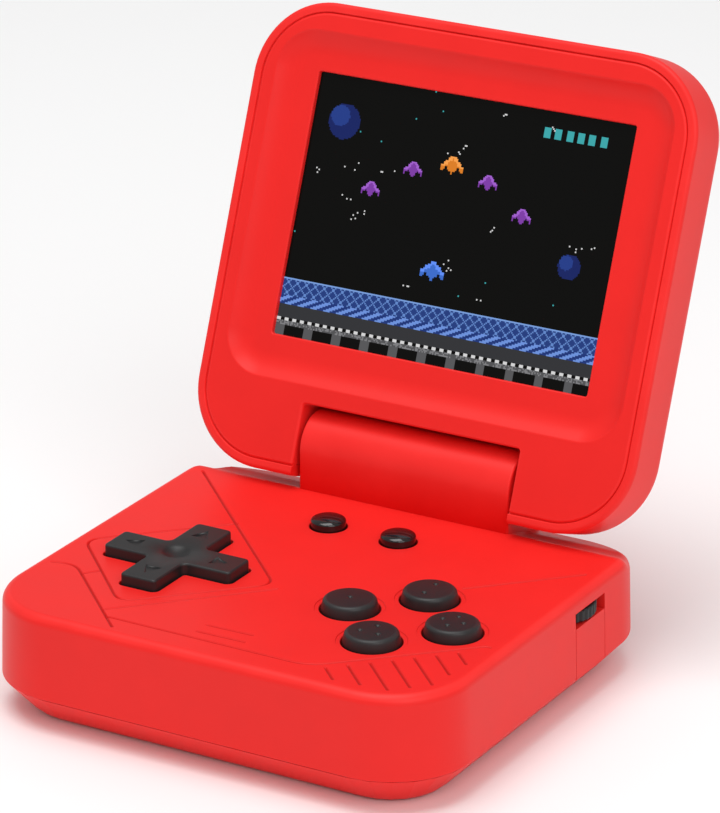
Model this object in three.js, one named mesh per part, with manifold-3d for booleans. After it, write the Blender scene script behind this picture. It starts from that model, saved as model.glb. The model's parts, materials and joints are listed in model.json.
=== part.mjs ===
// Handheld LCD game: a square palm-size console whose screen lid folds over its controls.
// Millimetres, +Z up. The origin is the middle of the face that the base rests on. +X is the player's
// right, +Y points to the hinge. The lid is built round its hinge axis and stands open.

import * as THREE from "three";
import { mergeVertices } from "three/addons/utils/BufferGeometryUtils.js";
import { ParametricGeometry } from "three/addons/geometries/ParametricGeometry.js";
import Module from "manifold-3d";

const wasm = await Module();
wasm.setup();

// ---------------------------------------------------------------- driving dimensions

// case
const BASE_WIDTH = 85; // at the deck
const BASE_DEPTH = 80; // at the deck
const DECK_HEIGHT = 20.5;
const CORNER_RADIUS = 14;
const DECK_EDGE_RADIUS = 1.8;
const WALL_FOOT = 6; // height of the side walls' lower edge
const WALL_DRAFT = 0.43; // how much the walls lean out between deck and foot
const SHELL_WALL = 1.8;
const SEAM_GAP = 0.15; // between the two halves of a case
const TUB_STEP = 0.3; // the tub's rim stands back from the wall above it
const TUB_CHAMFER = 6.9; // plan width of the tub's sloped sides
const TAB_ROOT = 0.6; // how far the tab behind the volume wheel grows out of the tub
const LIP_HEIGHT = 1.6;
const LIP_WALL = 1.1;
const LIP_ROOT = 1.2; // how far the lip reaches down into the tub's wall
const RIDGE_SETBACK = 5.73; // the flat deck ends this far in front of the hinge axis
const REAR_SLOPE = THREE.MathUtils.degToRad(16);

// fits
const REST_GAP = 0.05; // between two pieces of one body that lie on each other
const LOOSE_GAP = 0.3; // round a fixed piece in its pocket
const SLIDE_GAP = 0.25; // round a key or a slider in its hole
const RUNNING_GAP = 0.1; // radial, round a turning shaft
const PAST = 1; // a cut starts and ends this far past the faces that it opens
const WALL_CUT = SHELL_WALL + 1.2; // depth of the cuts that open the side walls

// hinge
const HINGE_SETBACK = 6.37; // axis in front of the base's rear edge
const HINGE_RISE = 6.53; // axis above the deck
const KNUCKLE_RADIUS = 5.9;
const KNUCKLE_HALF = 20.3;
const NOTCH_SIDE_GAP = 0.7;
const NOTCH_CLEARANCE = 0.5; // between the knuckle and the top of the lid's notch
const CARTRIDGE_RADIUS = 3.2;
const CARTRIDGE_LENGTH = 14;
const SHAFT_RADIUS = 1.5;
const SLEEVE_RADIUS = 2.2;
const SLEEVE_BORE = 1.4;
const SHAFT_IN_KNUCKLE = 7.3;
const SHAFT_IN_LID = 8;
const KEY_HALF = 2; // square key that the lid grips on shaft and sleeve
const KEY_LENGTH = 3;
const KEY_SETBACK = 2; // from the end of shaft and sleeve

// lid, in its own frame: x to the right, y up the lid, z out of the screen, from the hinge axis
const LID_LEAN = THREE.MathUtils.degToRad(21.21); // back from upright, when open
const LID_WIDTH = BASE_WIDTH;
const LID_DROP = 0.37; // the lid's lower edge reaches this far past the knuckle
const LID_OVERHANG = 1.17; // the closed lid reaches this far past the base's front edge
const LID_FACE = 5.93;
const LID_THICKNESS = 12;
const LID_SIDE_DEPTH = 8.1; // straight part of the side wall
const LID_BACK_ROUND = 4;
const LID_WALL = 1.6;
const LID_RIM_ROUND = 0.8;
const BEZEL_GAP = 0.25;
const BEZEL_DEPTH = 3.4;
const RECESS_DEPTH = 1.7;
const RECESS_SLOPE = 2.3;
const RECESS_SIDE = 4.1; // from the lid's outline
const RECESS_TOP = 4.8;
const RECESS_BOTTOM = 15.6;
const RECESS_RADIUS = 7.5;
const SCREEN_SIDE = 12; // from the lid's side edge to the visible screen
const SCREEN_ABOVE = 11.93; // from the lid's top edge
const SCREEN_BELOW = 23.34; // from the lid's lower edge
const WINDOW_EDGE = 0.9; // thickness of the bezel round the window
const WINDOW_CORNER = 0.4; // corner radius of the window
const LENS_CORNER = 1; // and of the lens behind it
const LENS_OVERLAP = 2.4;
const LENS_THICKNESS = 1.05;
const PANEL_THICKNESS = 1.8;
const PANEL_MARGIN = 1.6;
const FRAME_WALL = 0.5;
const DISPLAY_BOARD_THICKNESS = 0.8;
const DISPLAY_BOARD = { left: -18, right: 30, height: 18, below: 0.72 }; // below the frame's lower edge

// controls
const PAD = { x: -21.6, y: -9.8, reach: 12.2, half: 3.4, height: 1.85 };
const PAD_EDGE = 0.4;
const PAD_END_RADIUS = 0.8;
const PAD_ARMPIT_RADIUS = 1.1;
const PAD_HOLE_GAP = 0.4;
const PAD_FLANGE_RADIUS = PAD.reach + 1;
const PAD_FLANGE_DROP = 3.3; // flange top under the deck
const DIMPLE_RADIUS = 2.75;
const DIMPLE_DEPTH = 0.6;
const BALL_RADIUS = 1.6;
const BALL_CAP_GAP = 0.15;
const BUTTON_RADIUS = 4.8;
const CLUSTER = { x: 22, y: -11.5, spread: 1.98 * BUTTON_RADIUS };
const BUTTON_HEIGHT = 1.8;
const BUTTON_EDGE = 0.4;
const BUTTON_FLANGE = 1.4; // wider than the button by this much
const FLANGE_THICKNESS = 1.2;
const DOME_BUTTONS = { left: -7.6, right: 5.9, y: 16 };
const DOME_RADIUS = 3;
const DOME_SIDE = 0.95;
const DOME_HEIGHT = 1.85;
const WHEEL = { y: 15, radius: 6.6, thickness: 2, proud: 0.35, knurls: 36, knurlDepth: 0.3 };
const WHEEL_SLOT = { below: 2.9, height: 2.75 }; // its top lies this far below the deck
const POST_RADIUS = 1.2;
const POWER = { y: 5.2, travel: 3, capLength: 5, capHeight: 2, proud: 1.1 };

// inner parts
const BOARD_DROP = 6.3; // the board's top lies this far below the deck
const BOARD_THICKNESS = 1.2;
const BOARD_MARGIN = 5; // from the case outline
const MEMBRANE_SHEET = 0.6;
const CASE_SCREW_INSET = { side: 12, end: 12.5 }; // from the base's edges
const CASE_SCREW = { head: 1.9, headHeight: 1.3, shank: 0.95, length: 8 };
const CASE_SCREW_SINK = 4.6;
const BOSS_WALL = 1.6;
const BOARD_SCREW = { head: 1.5, headHeight: 1, shank: 0.7, length: 4.6 };
const BOARD_SCREWS = [[0, -2], [-2, -31], [-14, 25]];
const LID_SCREW = { head: 1.7, headHeight: 1.2, shank: 0.8, length: 6 };
const LID_SCREW_INSET = { side: 5.6, top: 14.8, bottom: 15.27 }; // from the lid's edges
const LID_SCREW_CUP = 1; // thickness of the cup round a lid screw's head
const LID_SCREW_SINK = 1.5;
const LID_SCREW_LEDGE = 1.2;
const BATTERY = { width: 50, depth: 29, thickness: 5.6, front: 3.2, corner: 2 };
const BAY_WALL = 1.2;
const CONTACT_ROOM = 3; // between the battery and the bay's front wall
const DOOR = { thickness: 1.3, raise: 0.25, rib: 0.6, ribHeight: 0.4, lipTop: 3 };
const SPEAKER = { x: 19, y: -19, radius: 10, flange: 1, magnet: 6, height: 4.5 };
const GRILLE_HOLE_RADIUS = 0.8;
const GRILLE_RINGS = [[6, 3.2], [10, 6.2]]; // count and radius of each ring of holes
const JACK = { y: 19.8, rise: 1.95, length: 12, width: 6, nose: 2, bore: 1.75, boreShare: 0.8 };
const PORT = { x: 27, width: 7.6, depth: 6.4, height: 2.6, wall: 0.35, tongue: 0.6, tongueSide: 1.6 };
const RIBBON = { left: 5, width: 8, thickness: 0.3, folded: 2.8 };
const RIBBON_ROOM = { left: 1, right: 0.5, half: 1.5 }; // of the duct under the sleeve
const CHIPS = { processor: [-12, -15, 6], memory: [-28, -13, 3.5], height: 1 }; // x, y, half width
const SWITCH = { depth: 3.6, half: 4.6, cover: 1.6, tongueHalf: 0.8, tongueDepth: 1.4, mouth: 0.45 };
const KEEPER = { thickness: 0.8, wider: 1, taller: 0.6 }; // flange that keeps the slider in its slot
const CONTACT = { spacing: 4.4, width: 1.6, foil: 0.3 };
const CONTACT_BLOCK = { half: 7, depth: 1.6, low: 3, high: 6.6 };
const CONNECTOR = { setback: 0.9, depth: 2.5, height: 1.4, wider: 0.9 }; // in front of the ridge
const CABLE_RADIUS = 0.5;

// facets
const CORNER_STEPS = 3;
const ROUND_STEPS = 24;
const SMALL_STEPS = 12;
const EDGE_STEPS = 3;
const WELD = 1e-4;
const BEYOND = 60; // reaches past any face it has to cut

// ---------------------------------------------------------------- derived values

const HALF_WIDTH = BASE_WIDTH / 2;
const HALF_DEPTH = BASE_DEPTH / 2;
const CEILING = DECK_HEIGHT - SHELL_WALL;
const HINGE_Y = HALF_DEPTH - HINGE_SETBACK;
const HINGE_Z = DECK_HEIGHT + HINGE_RISE;
const RIDGE_Y = HINGE_Y - RIDGE_SETBACK;
const NOTCH_TOP = KNUCKLE_RADIUS + NOTCH_CLEARANCE; // from the axis
const LID_BOTTOM = -KNUCKLE_RADIUS - LID_DROP;
const LID_TOP = HINGE_Y + HALF_DEPTH + LID_OVERHANG;
const SCREEN_WIDTH = LID_WIDTH - 2 * SCREEN_SIDE;
const SCREEN_HEIGHT = LID_TOP - LID_BOTTOM - SCREEN_ABOVE - SCREEN_BELOW;
const SCREW_X = HALF_WIDTH - CASE_SCREW_INSET.side;
const SCREW_Y = HALF_DEPTH - CASE_SCREW_INSET.end;
const BOARD_TOP = DECK_HEIGHT - BOARD_DROP;
const NOTCH_HALF = KNUCKLE_HALF + NOTCH_SIDE_GAP;
const BOARD_BOTTOM = BOARD_TOP - BOARD_THICKNESS;
const FLANGE_TOP = CEILING - LOOSE_GAP;
const FLANGE_BOTTOM = FLANGE_TOP - FLANGE_THICKNESS;
const PAD_FLANGE_TOP = DECK_HEIGHT - PAD_FLANGE_DROP;
const PAD_FLANGE_BOTTOM = PAD_FLANGE_TOP - FLANGE_THICKNESS;
const BALL_Z = PAD_FLANGE_TOP - BALL_CAP_GAP;
const SLOT_TOP = DECK_HEIGHT - WHEEL_SLOT.below;
const SLOT_BOTTOM = SLOT_TOP - WHEEL_SLOT.height;
const WHEEL_BOTTOM = (SLOT_BOTTOM + SLOT_TOP - WHEEL.thickness) / 2;
const WHEEL_TOP = WHEEL_BOTTOM + WHEEL.thickness;
const BAY_TOP = SHELL_WALL + BATTERY.thickness + 2 * LOOSE_GAP;
const LID_BACK = LID_FACE - LID_THICKNESS;
const LID_BACK_INNER = LID_BACK + LID_WALL;
const BEZEL_BACK = LID_FACE - BEZEL_DEPTH;
const RECESS_FLOOR = LID_FACE - RECESS_DEPTH;
const LENS_TOP = RECESS_FLOOR - WINDOW_EDGE - REST_GAP;
const LENS_BACK = LENS_TOP - LENS_THICKNESS;
const PANEL_TOP = LENS_BACK - REST_GAP;
const PANEL_BACK = PANEL_TOP - PANEL_THICKNESS;
const FRAME_BACK = PANEL_BACK - REST_GAP - FRAME_WALL;
const SCREEN_MIDDLE = LID_BOTTOM + SCREEN_BELOW + SCREEN_HEIGHT / 2;
const LID_SWING = Math.hypot(LID_BOTTOM, LID_FACE - LID_RIM_ROUND); // its lower edge's way round the axis
const SCREW_LEDGE = LID_BACK + LID_SCREW_SINK + LID_SCREW.headHeight;
const SCREW_CUP_TOP = SCREW_LEDGE + LID_SCREW_LEDGE;

// Half-width that the base's outline gains from the walls' draft at a height.
const draftAt = (z) => (WALL_DRAFT * (DECK_HEIGHT - z)) / (DECK_HEIGHT - WALL_FOOT);
// The side walls' outer face at a height, measured from the middle.
const wallFaceAt = (z) => HALF_WIDTH + draftAt(z);
// Height of the sloped rear of the deck at a depth.
const slopeAt = (y) => DECK_HEIGHT - (y - RIDGE_Y) * Math.tan(REAR_SLOPE);

// ---------------------------------------------------------------- finishes

const FINISHES = {
  redPlastic: { color: 0xe62e2b, roughness: 0.42, metalness: 0 },
  blackPlastic: { color: 0x1b1b1c, roughness: 0.5, metalness: 0 },
  glossBlack: { color: 0x0c0c0d, roughness: 0.15, metalness: 0 },
  screenGlass: { color: 0x060608, roughness: 0.08, metalness: 0 },
  steel: { color: 0xb4b6b8, roughness: 0.32, metalness: 1 },
  brass: { color: 0xc9a557, roughness: 0.35, metalness: 1 },
  boardGreen: { color: 0x14532f, roughness: 0.5, metalness: 0 },
  greyRubber: { color: 0x8d8f92, roughness: 0.8, metalness: 0 },
  cellWrap: { color: 0x3a4a63, roughness: 0.45, metalness: 0 },
  amberFilm: { color: 0xb0702a, roughness: 0.4, metalness: 0 },
  chipBlack: { color: 0x202124, roughness: 0.6, metalness: 0 },
};

// ---------------------------------------------------------------- shape helpers

// A closed geometry as a solid that can be joined and cut.
function solid(geometry) {
  const bare = geometry.clone();
  bare.deleteAttribute("normal");
  bare.deleteAttribute("uv");
  const welded = mergeVertices(bare, WELD);
  const vertProperties = new Float32Array(welded.attributes.position.array);
  const triVerts = new Uint32Array(welded.index.array);
  return new wasm.Manifold(new wasm.Mesh({ numProp: 3, vertProperties, triVerts }));
}

// A solid's surface as a geometry.
function surface(body) {
  const mesh = body.getMesh();
  const positions = new Float32Array(mesh.numVert * 3);
  for (let i = 0; i < mesh.numVert; i++) {
    const from = i * mesh.numProp;
    positions.set(mesh.vertProperties.subarray(from, from + 3), i * 3);
  }
  const indexed = new THREE.BufferGeometry();
  indexed.setAttribute("position", new THREE.BufferAttribute(positions, 3));
  indexed.setIndex(new THREE.BufferAttribute(mesh.triVerts, 1));
  const faceted = indexed.toNonIndexed();
  faceted.computeVertexNormals();
  return faceted;
}

const join = (...bodies) => bodies.reduce((whole, body) => whole.add(body));
const cut = (body, ...tools) => tools.reduce((rest, tool) => rest.subtract(tool), body);

// A box between two values on each axis.
function block(x0, x1, y0, y1, z0, z1) {
  const box = new THREE.BoxGeometry(x1 - x0, y1 - y0, z1 - z0);
  return solid(box.translate((x0 + x1) / 2, (y0 + y1) / 2, (z0 + z1) / 2));
}

// An upright cylinder between two heights.
function post(radius, x, y, z0, z1, steps = SMALL_STEPS) {
  const rod = new THREE.CylinderGeometry(radius, radius, z1 - z0, steps);
  return solid(rod.rotateX(Math.PI / 2).translate(x, y, (z0 + z1) / 2));
}

// A cylinder that lies along X.
function axle(radius, x0, x1, y, z, steps = ROUND_STEPS) {
  const rod = new THREE.CylinderGeometry(radius, radius, x1 - x0, steps);
  return solid(rod.rotateZ(Math.PI / 2).translate((x0 + x1) / 2, y, z));
}

// A shape turned about an upright axis: its profile is a list of [radius, height], outermost first to last.
function turned(profile, x, y, steps = ROUND_STEPS) {
  const points = profile.map(([radius, height]) => new THREE.Vector2(radius, height));
  const lathe = new THREE.LatheGeometry(points, steps);
  return solid(lathe.rotateX(Math.PI / 2).translate(x, y, 0));
}

// A flat plate of an outline between two heights.
function plate(outline, z0, z1) {
  const options = { depth: z1 - z0, bevelEnabled: false, curveSegments: CORNER_STEPS };
  return solid(new THREE.ExtrudeGeometry(outline, options).translate(0, 0, z0));
}

// A rectangle with round corners, as a shape.
function rounded(halfX, halfY, radius, centreX = 0, centreY = 0) {
  const right = centreX + halfX - radius;
  const left = centreX - halfX + radius;
  const top = centreY + halfY - radius;
  const bottom = centreY - halfY + radius;
  const outline = new THREE.Shape();
  outline.absarc(right, top, radius, 0, Math.PI / 2);
  outline.absarc(left, top, radius, Math.PI / 2, Math.PI);
  outline.absarc(left, bottom, radius, Math.PI, 1.5 * Math.PI);
  outline.absarc(right, bottom, radius, 1.5 * Math.PI, 2 * Math.PI);
  return outline;
}

// A solid skinned over outlines at rising heights: levels are [height, outline].
function loft(levels, centreY = 0) {
  const rings = levels.map(([, outline]) => outline.getPoints(CORNER_STEPS));
  const count = rings[0].length;
  const rows = levels.length + 1;
  const place = (u, v, target) => {
    const row = Math.round(v * rows);
    const level = Math.min(Math.max(row - 1, 0), levels.length - 1);
    const height = levels[level][0];
    if (row === 0 || row === rows) {
      target.set(0, centreY, height);
      return;
    }
    const point = rings[level][Math.round(u * count) % count];
    target.set(point.x, point.y, height);
  };
  return solid(new ParametricGeometry(place, count, rows));
}

// The base's outline, drawn in by an inset and moved out by the walls' draft.
function baseOutline(inset, z) {
  const grow = draftAt(z) - inset;
  return rounded(HALF_WIDTH + grow, HALF_DEPTH + grow, CORNER_RADIUS + grow);
}

// The lid's outline, drawn in by an inset.
function lidOutline(inset) {
  const halfX = LID_WIDTH / 2 - inset;
  const halfY = (LID_TOP - LID_BOTTOM) / 2 - inset;
  return rounded(halfX, halfY, CORNER_RADIUS - inset, 0, (LID_TOP + LID_BOTTOM) / 2);
}

// Angles from 0 to a right angle, for a rounded edge.
const edgeAngles = Array.from({ length: EDGE_STEPS + 1 }, (_, i) => (i * Math.PI) / 2 / EDGE_STEPS);

// Everything above the sloped rear of the deck, lowered by a drop.
function aboveSlope(drop) {
  const box = new THREE.BoxGeometry(2 * BEYOND, BEYOND, BEYOND);
  box.translate(0, BEYOND / 2, BEYOND / 2).rotateX(-REAR_SLOPE);
  return solid(box.translate(0, RIDGE_Y, DECK_HEIGHT - drop));
}

// ---------------------------------------------------------------- assembly helpers

const game = new THREE.Group();
const lid = new THREE.Group();
lid.position.set(0, HINGE_Y, HINGE_Z);
lid.rotation.x = Math.PI / 2 - LID_LEAN;
game.add(lid);

// Puts a solid in the assembly as a named mesh.
function add(name, body, finish, parent = game) {
  const mesh = new THREE.Mesh(surface(body), new THREE.MeshStandardMaterial(FINISHES[finish]));
  mesh.name = name;
  parent.add(mesh);
}

const CORNERS = [[-1, -1], [1, -1], [1, 1], [-1, 1]];

// ---------------------------------------------------------------- key outlines

// The direction pad's cross, grown by a gap: straight arms, rounded ends and rounded armpits.
function crossOutline(gap) {
  const reach = PAD.reach + gap;
  const half = PAD.half + gap;
  const end = PAD_END_RADIUS;
  const pit = PAD_ARMPIT_RADIUS - gap;
  const outline = new THREE.Shape();
  for (let arm = 0; arm < 4; arm++) {
    const turn = (arm * Math.PI) / 2;
    const at = (x, y) => [
      PAD.x + x * Math.cos(turn) - y * Math.sin(turn),
      PAD.y + x * Math.sin(turn) + y * Math.cos(turn),
    ];
    const quarter = Math.PI / 2;
    outline.absarc(...at(reach - end, -half + end), end, turn - quarter, turn);
    outline.absarc(...at(reach - end, half - end), end, turn, turn + quarter);
    outline.absarc(...at(half + pit, half + pit), pit, turn - quarter, turn - 2 * quarter, true);
  }
  return outline;
}

const ACTION_BUTTONS = [
  ["button_left", CLUSTER.x - CLUSTER.spread, CLUSTER.y],
  ["button_back", CLUSTER.x, CLUSTER.y + CLUSTER.spread],
  ["button_front", CLUSTER.x, CLUSTER.y - CLUSTER.spread],
  ["button_right", CLUSTER.x + CLUSTER.spread, CLUSTER.y],
];
const MENU_BUTTONS = [
  ["select_button", DOME_BUTTONS.left, DOME_BUTTONS.y],
  ["start_button", DOME_BUTTONS.right, DOME_BUTTONS.y],
];

// ---------------------------------------------------------------- base, upper shell

const WHEEL_X = wallFaceAt(WHEEL_TOP) + WHEEL.proud - WHEEL.radius;
const WHEEL_INSIDE = WHEEL.radius - WHEEL.proud - SHELL_WALL; // from its axis to the wall's inner face
const TAB_HALF = Math.sqrt(WHEEL.radius ** 2 - WHEEL_INSIDE ** 2) + LOOSE_GAP; // clears it at that face
const TAB_INNER = HALF_WIDTH - SHELL_WALL - SLIDE_GAP - LIP_WALL;
const SWITCH_Z = (BOARD_TOP + CEILING) / 2;
const JACK_Z = BOARD_TOP + JACK.rise;
const PORT_TOP = BOARD_BOTTOM - REST_GAP;
const SLOT_HALF = (POWER.travel + POWER.capLength) / 2 + SLIDE_GAP;

function knuckle() {
  const barrel = axle(KNUCKLE_RADIUS, -KNUCKLE_HALF, KNUCKLE_HALF, HINGE_Y, HINGE_Z);
  const stand = block(
    -KNUCKLE_HALF, KNUCKLE_HALF, HINGE_Y - KNUCKLE_RADIUS, HINGE_Y + KNUCKLE_RADIUS,
    slopeAt(HINGE_Y + KNUCKLE_RADIUS) - SHELL_WALL / 2, HINGE_Z,
  );
  return join(barrel, stand);
}

function upperShell() {
  const skin = [[WALL_FOOT, baseOutline(0, WALL_FOOT)]];
  const cavity = [[WALL_FOOT - PAST, baseOutline(SHELL_WALL, WALL_FOOT)]];
  for (const angle of edgeAngles) {
    const z = DECK_HEIGHT - DECK_EDGE_RADIUS * (1 - Math.sin(angle));
    skin.push([z, baseOutline(DECK_EDGE_RADIUS * (1 - Math.cos(angle)), z)]);
  }
  cavity.push([CEILING, baseOutline(SHELL_WALL, CEILING)]);
  const room = cut(loft(cavity), aboveSlope(SHELL_WALL / Math.cos(REAR_SLOPE)));
  let shell = cut(loft(skin), aboveSlope(0), room);

  const bosses = CORNERS.map(([sx, sy]) => {
    const [x, y] = [sx * SCREW_X, sy * SCREW_Y];
    const top = Math.min(CEILING, slopeAt(y) - SHELL_WALL) + SHELL_WALL / 2;
    return post(CASE_SCREW.shank + BOSS_WALL, x, y, CASE_SCREW_TOP + SEAM_GAP, top);
  });
  const pillars = BOARD_SCREWS.map(([x, y]) => {
    return post(BOARD_SCREW.shank + BOSS_WALL, x, y, BOARD_TOP + SEAM_GAP, CEILING + SHELL_WALL / 2);
  });
  shell = join(shell, knuckle(), ...bosses, ...pillars);

  const screwHoles = CORNERS.map(([sx, sy]) => {
    const [x, y] = [sx * SCREW_X, sy * SCREW_Y];
    return post(CASE_SCREW.shank + RUNNING_GAP, x, y, 0, CASE_SCREW_SHANK_TOP + SLIDE_GAP);
  });
  const pillarHoles = BOARD_SCREWS.map(([x, y]) => {
    return post(BOARD_SCREW.shank + RUNNING_GAP, x, y, BOARD_TOP, BOARD_SCREW_TIP + SLIDE_GAP);
  });
  const keyHoles = [
    plate(crossOutline(PAD_HOLE_GAP), CEILING - PAST, DECK_HEIGHT + PAST),
    ...ACTION_BUTTONS.map(([, x, y]) => {
      return post(BUTTON_RADIUS + SLIDE_GAP, x, y, CEILING - PAST, DECK_HEIGHT + PAST, ROUND_STEPS);
    }),
    ...MENU_BUTTONS.map(([, x, y]) => {
      return post(DOME_RADIUS + SLIDE_GAP, x, y, CEILING - PAST, DECK_HEIGHT + PAST, ROUND_STEPS);
    }),
  ];
  const wheelGate = block(
    HALF_WIDTH - WALL_CUT, BEYOND, WHEEL.y - TAB_HALF, WHEEL.y + TAB_HALF, 0, SLOT_TOP,
  );
  const sliderSlot = block(
    -BEYOND, WALL_CUT - HALF_WIDTH, POWER.y - SLOT_HALF, POWER.y + SLOT_HALF,
    SWITCH_Z - POWER.capHeight / 2 - SLIDE_GAP, SWITCH_Z + POWER.capHeight / 2 + SLIDE_GAP,
  );
  const jackHole = axle(JACK.nose + LOOSE_GAP, -BEYOND, WALL_CUT - HALF_WIDTH, JACK.y, JACK_Z, SMALL_STEPS);
  const portHole = block(
    PORT.x - PORT.width / 2 - LOOSE_GAP, PORT.x + PORT.width / 2 + LOOSE_GAP,
    HALF_DEPTH - WALL_CUT, BEYOND, PORT_TOP - PORT.height - LOOSE_GAP, PORT_TOP + LOOSE_GAP,
  );
  const cartridgeBore = axle(
    CARTRIDGE_RADIUS + RUNNING_GAP, -KNUCKLE_HALF - PAST, CARTRIDGE_INNER + LOOSE_GAP, HINGE_Y, HINGE_Z,
  );
  const ductLeft = RIBBON.left - RIBBON_ROOM.left;
  const sleeveBore = axle(SLEEVE_RADIUS + RUNNING_GAP, ductLeft, KNUCKLE_HALF + PAST, HINGE_Y, HINGE_Z);
  const ribbonDuct = block(
    ductLeft, RIBBON.left + RIBBON.width + RIBBON_ROOM.right,
    HINGE_Y - RIBBON_ROOM.half, HINGE_Y + RIBBON_ROOM.half, BOARD_TOP, HINGE_Z,
  );
  const swingStart = NOTCH_HALF - LOOSE_GAP;
  const swings = [[-BEYOND, -swingStart], [swingStart, BEYOND]].map(([from, to]) => {
    return axle(LID_SWING + SLIDE_GAP, from, to, HINGE_Y, HINGE_Z);
  });
  return cut(
    shell, ...screwHoles, ...pillarHoles, ...keyHoles, wheelGate, sliderSlot, jackHole, portHole,
    cartridgeBore, sleeveBore, ribbonDuct, ...swings,
  );
}

// ---------------------------------------------------------------- base, lower tub

const CASE_SCREW_LEDGE = CASE_SCREW_SINK + CASE_SCREW.headHeight; // the head bears here
const CASE_SCREW_TOP = CASE_SCREW_LEDGE + BOSS_WALL; // top of the tub's boss
const CASE_SCREW_SHANK_TOP = CASE_SCREW_LEDGE + CASE_SCREW.length;
const BOARD_SCREW_TIP = BOARD_BOTTOM + BOARD_SCREW.length - REST_GAP;
const CARTRIDGE_INNER = CARTRIDGE_LENGTH - KNUCKLE_HALF;

// The tub's outside, drawn in by an extra inset and raised: steep chamfer, then a soft bottom edge.
function tubSkin(inset, raise) {
  const rim = WALL_FOOT - SEAM_GAP;
  const ring = (z, share) => [
    z + raise, baseOutline(TUB_STEP + TUB_CHAMFER * share + inset, WALL_FOOT),
  ];
  const levels = [ring(0, 1), ring(0.12, 0.87), ring(0.5, 0.73), ring(1.2, 0.61)];
  return loft([...levels, [rim, baseOutline(TUB_STEP + inset, WALL_FOOT)]]);
}

// The tub's inside.
function tubRoom() {
  const slant = SHELL_WALL / Math.sin(Math.atan2(WALL_FOOT, TUB_CHAMFER));
  return loft([
    [SHELL_WALL, baseOutline(TUB_STEP + TUB_CHAMFER, WALL_FOOT)],
    [WALL_FOOT, baseOutline(TUB_STEP + slant, WALL_FOOT)],
    [BOARD_TOP, baseOutline(TUB_STEP + slant, WALL_FOOT)],
  ]);
}

const BAY = {
  left: -BATTERY.width / 2 - LOOSE_GAP,
  right: BATTERY.width / 2 + LOOSE_GAP,
  front: BATTERY.front - CONTACT_ROOM,
  back: BATTERY.front + BATTERY.depth + LOOSE_GAP,
};
const DOOR_FRONT = BATTERY.front - LOOSE_GAP;

function lowerShell() {
  const skin = tubSkin(0, 0);
  const lipOuter = SHELL_WALL + SLIDE_GAP;
  const lip = cut(
    plate(baseOutline(lipOuter, WALL_FOOT), WALL_FOOT - LIP_ROOT, WALL_FOOT + LIP_HEIGHT),
    plate(baseOutline(lipOuter + LIP_WALL, WALL_FOOT), 0, BEYOND),
  );
  const tabFront = WHEEL.y - TAB_HALF + SEAM_GAP;
  const tabBack = WHEEL.y + TAB_HALF - SEAM_GAP;
  const tab = cut(
    loft([
      [WALL_FOOT - TAB_ROOT, baseOutline(TUB_STEP + TAB_ROOT, WALL_FOOT)],
      [WALL_FOOT, baseOutline(0, WALL_FOOT)],
      [SLOT_BOTTOM, baseOutline(0, SLOT_BOTTOM)],
    ]),
    block(-BEYOND, TAB_INNER, -BEYOND, BEYOND, 0, BEYOND),
    block(-BEYOND, BEYOND, -BEYOND, tabFront, 0, BEYOND),
    block(-BEYOND, BEYOND, tabBack, BEYOND, 0, BEYOND),
  );
  const tubes = CORNERS.map(([sx, sy]) => {
    const radius = CASE_SCREW.head + LOOSE_GAP + BOSS_WALL;
    return post(radius, sx * SCREW_X, sy * SCREW_Y, SHELL_WALL / 2, CASE_SCREW_TOP);
  });
  const bay = block(
    BAY.left - BAY_WALL, BAY.right + BAY_WALL, BAY.front - BAY_WALL, BAY.back + BAY_WALL,
    SHELL_WALL / 2, BAY_TOP + BAY_WALL,
  );
  const bayRoom = block(BAY.left, BAY.right, BAY.front, BAY.back, SHELL_WALL, BAY_TOP);
  const screwWays = CORNERS.flatMap(([sx, sy]) => {
    const [x, y] = [sx * SCREW_X, sy * SCREW_Y];
    return [
      post(CASE_SCREW.head + LOOSE_GAP, x, y, -PAST, CASE_SCREW_LEDGE),
      post(CASE_SCREW.shank + RUNNING_GAP, x, y, 0, CASE_SCREW_TOP + PAST),
    ];
  });
  const doorway = block(BAY.left, BAY.right, DOOR_FRONT, BEYOND, -PAST, DOOR_LIP_GATE);
  const grooves = block(
    BAY.left - DOOR.rib - RUNNING_GAP, BAY.right + DOOR.rib + RUNNING_GAP, DOOR_FRONT, BEYOND,
    DOOR_RIB_BOTTOM - SLIDE_GAP, DOOR_RIB_BOTTOM + DOOR.ribHeight + SLIDE_GAP,
  );
  const bayBack = block(
    BAY.left - BAY_WALL, BAY.right + BAY_WALL, BAY.back, BAY.back + BAY_WALL, DOOR_TOP + SLIDE_GAP, BAY_TOP,
  );
  const grille = grilleSpots().map(([x, y]) => post(GRILLE_HOLE_RADIUS, x, y, -PAST, SHELL_WALL + PAST));
  const tub = join(cut(join(skin, lip), tubRoom()), tab, lip, ...tubes, bay);
  const opened = cut(tub, ...screwWays, bayRoom, doorway, grooves, ...grille);
  return join(opened, bayBack);
}

// Where the holes over the speaker are: one in the middle and two rings of them.
function grilleSpots() {
  const spots = [[SPEAKER.x, SPEAKER.y]];
  for (const [count, radius] of GRILLE_RINGS) {
    for (let i = 0; i < count; i++) {
      const angle = (2 * Math.PI * i) / count;
      spots.push([SPEAKER.x + radius * Math.cos(angle), SPEAKER.y + radius * Math.sin(angle)]);
    }
  }
  return spots;
}

const DOOR_TOP = DOOR.raise + DOOR.thickness;
const DOOR_LIP_GATE = DOOR.lipTop + SLIDE_GAP;
const DOOR_RIB_BOTTOM = DOOR.raise + (DOOR.thickness - DOOR.ribHeight) / 2;

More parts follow.
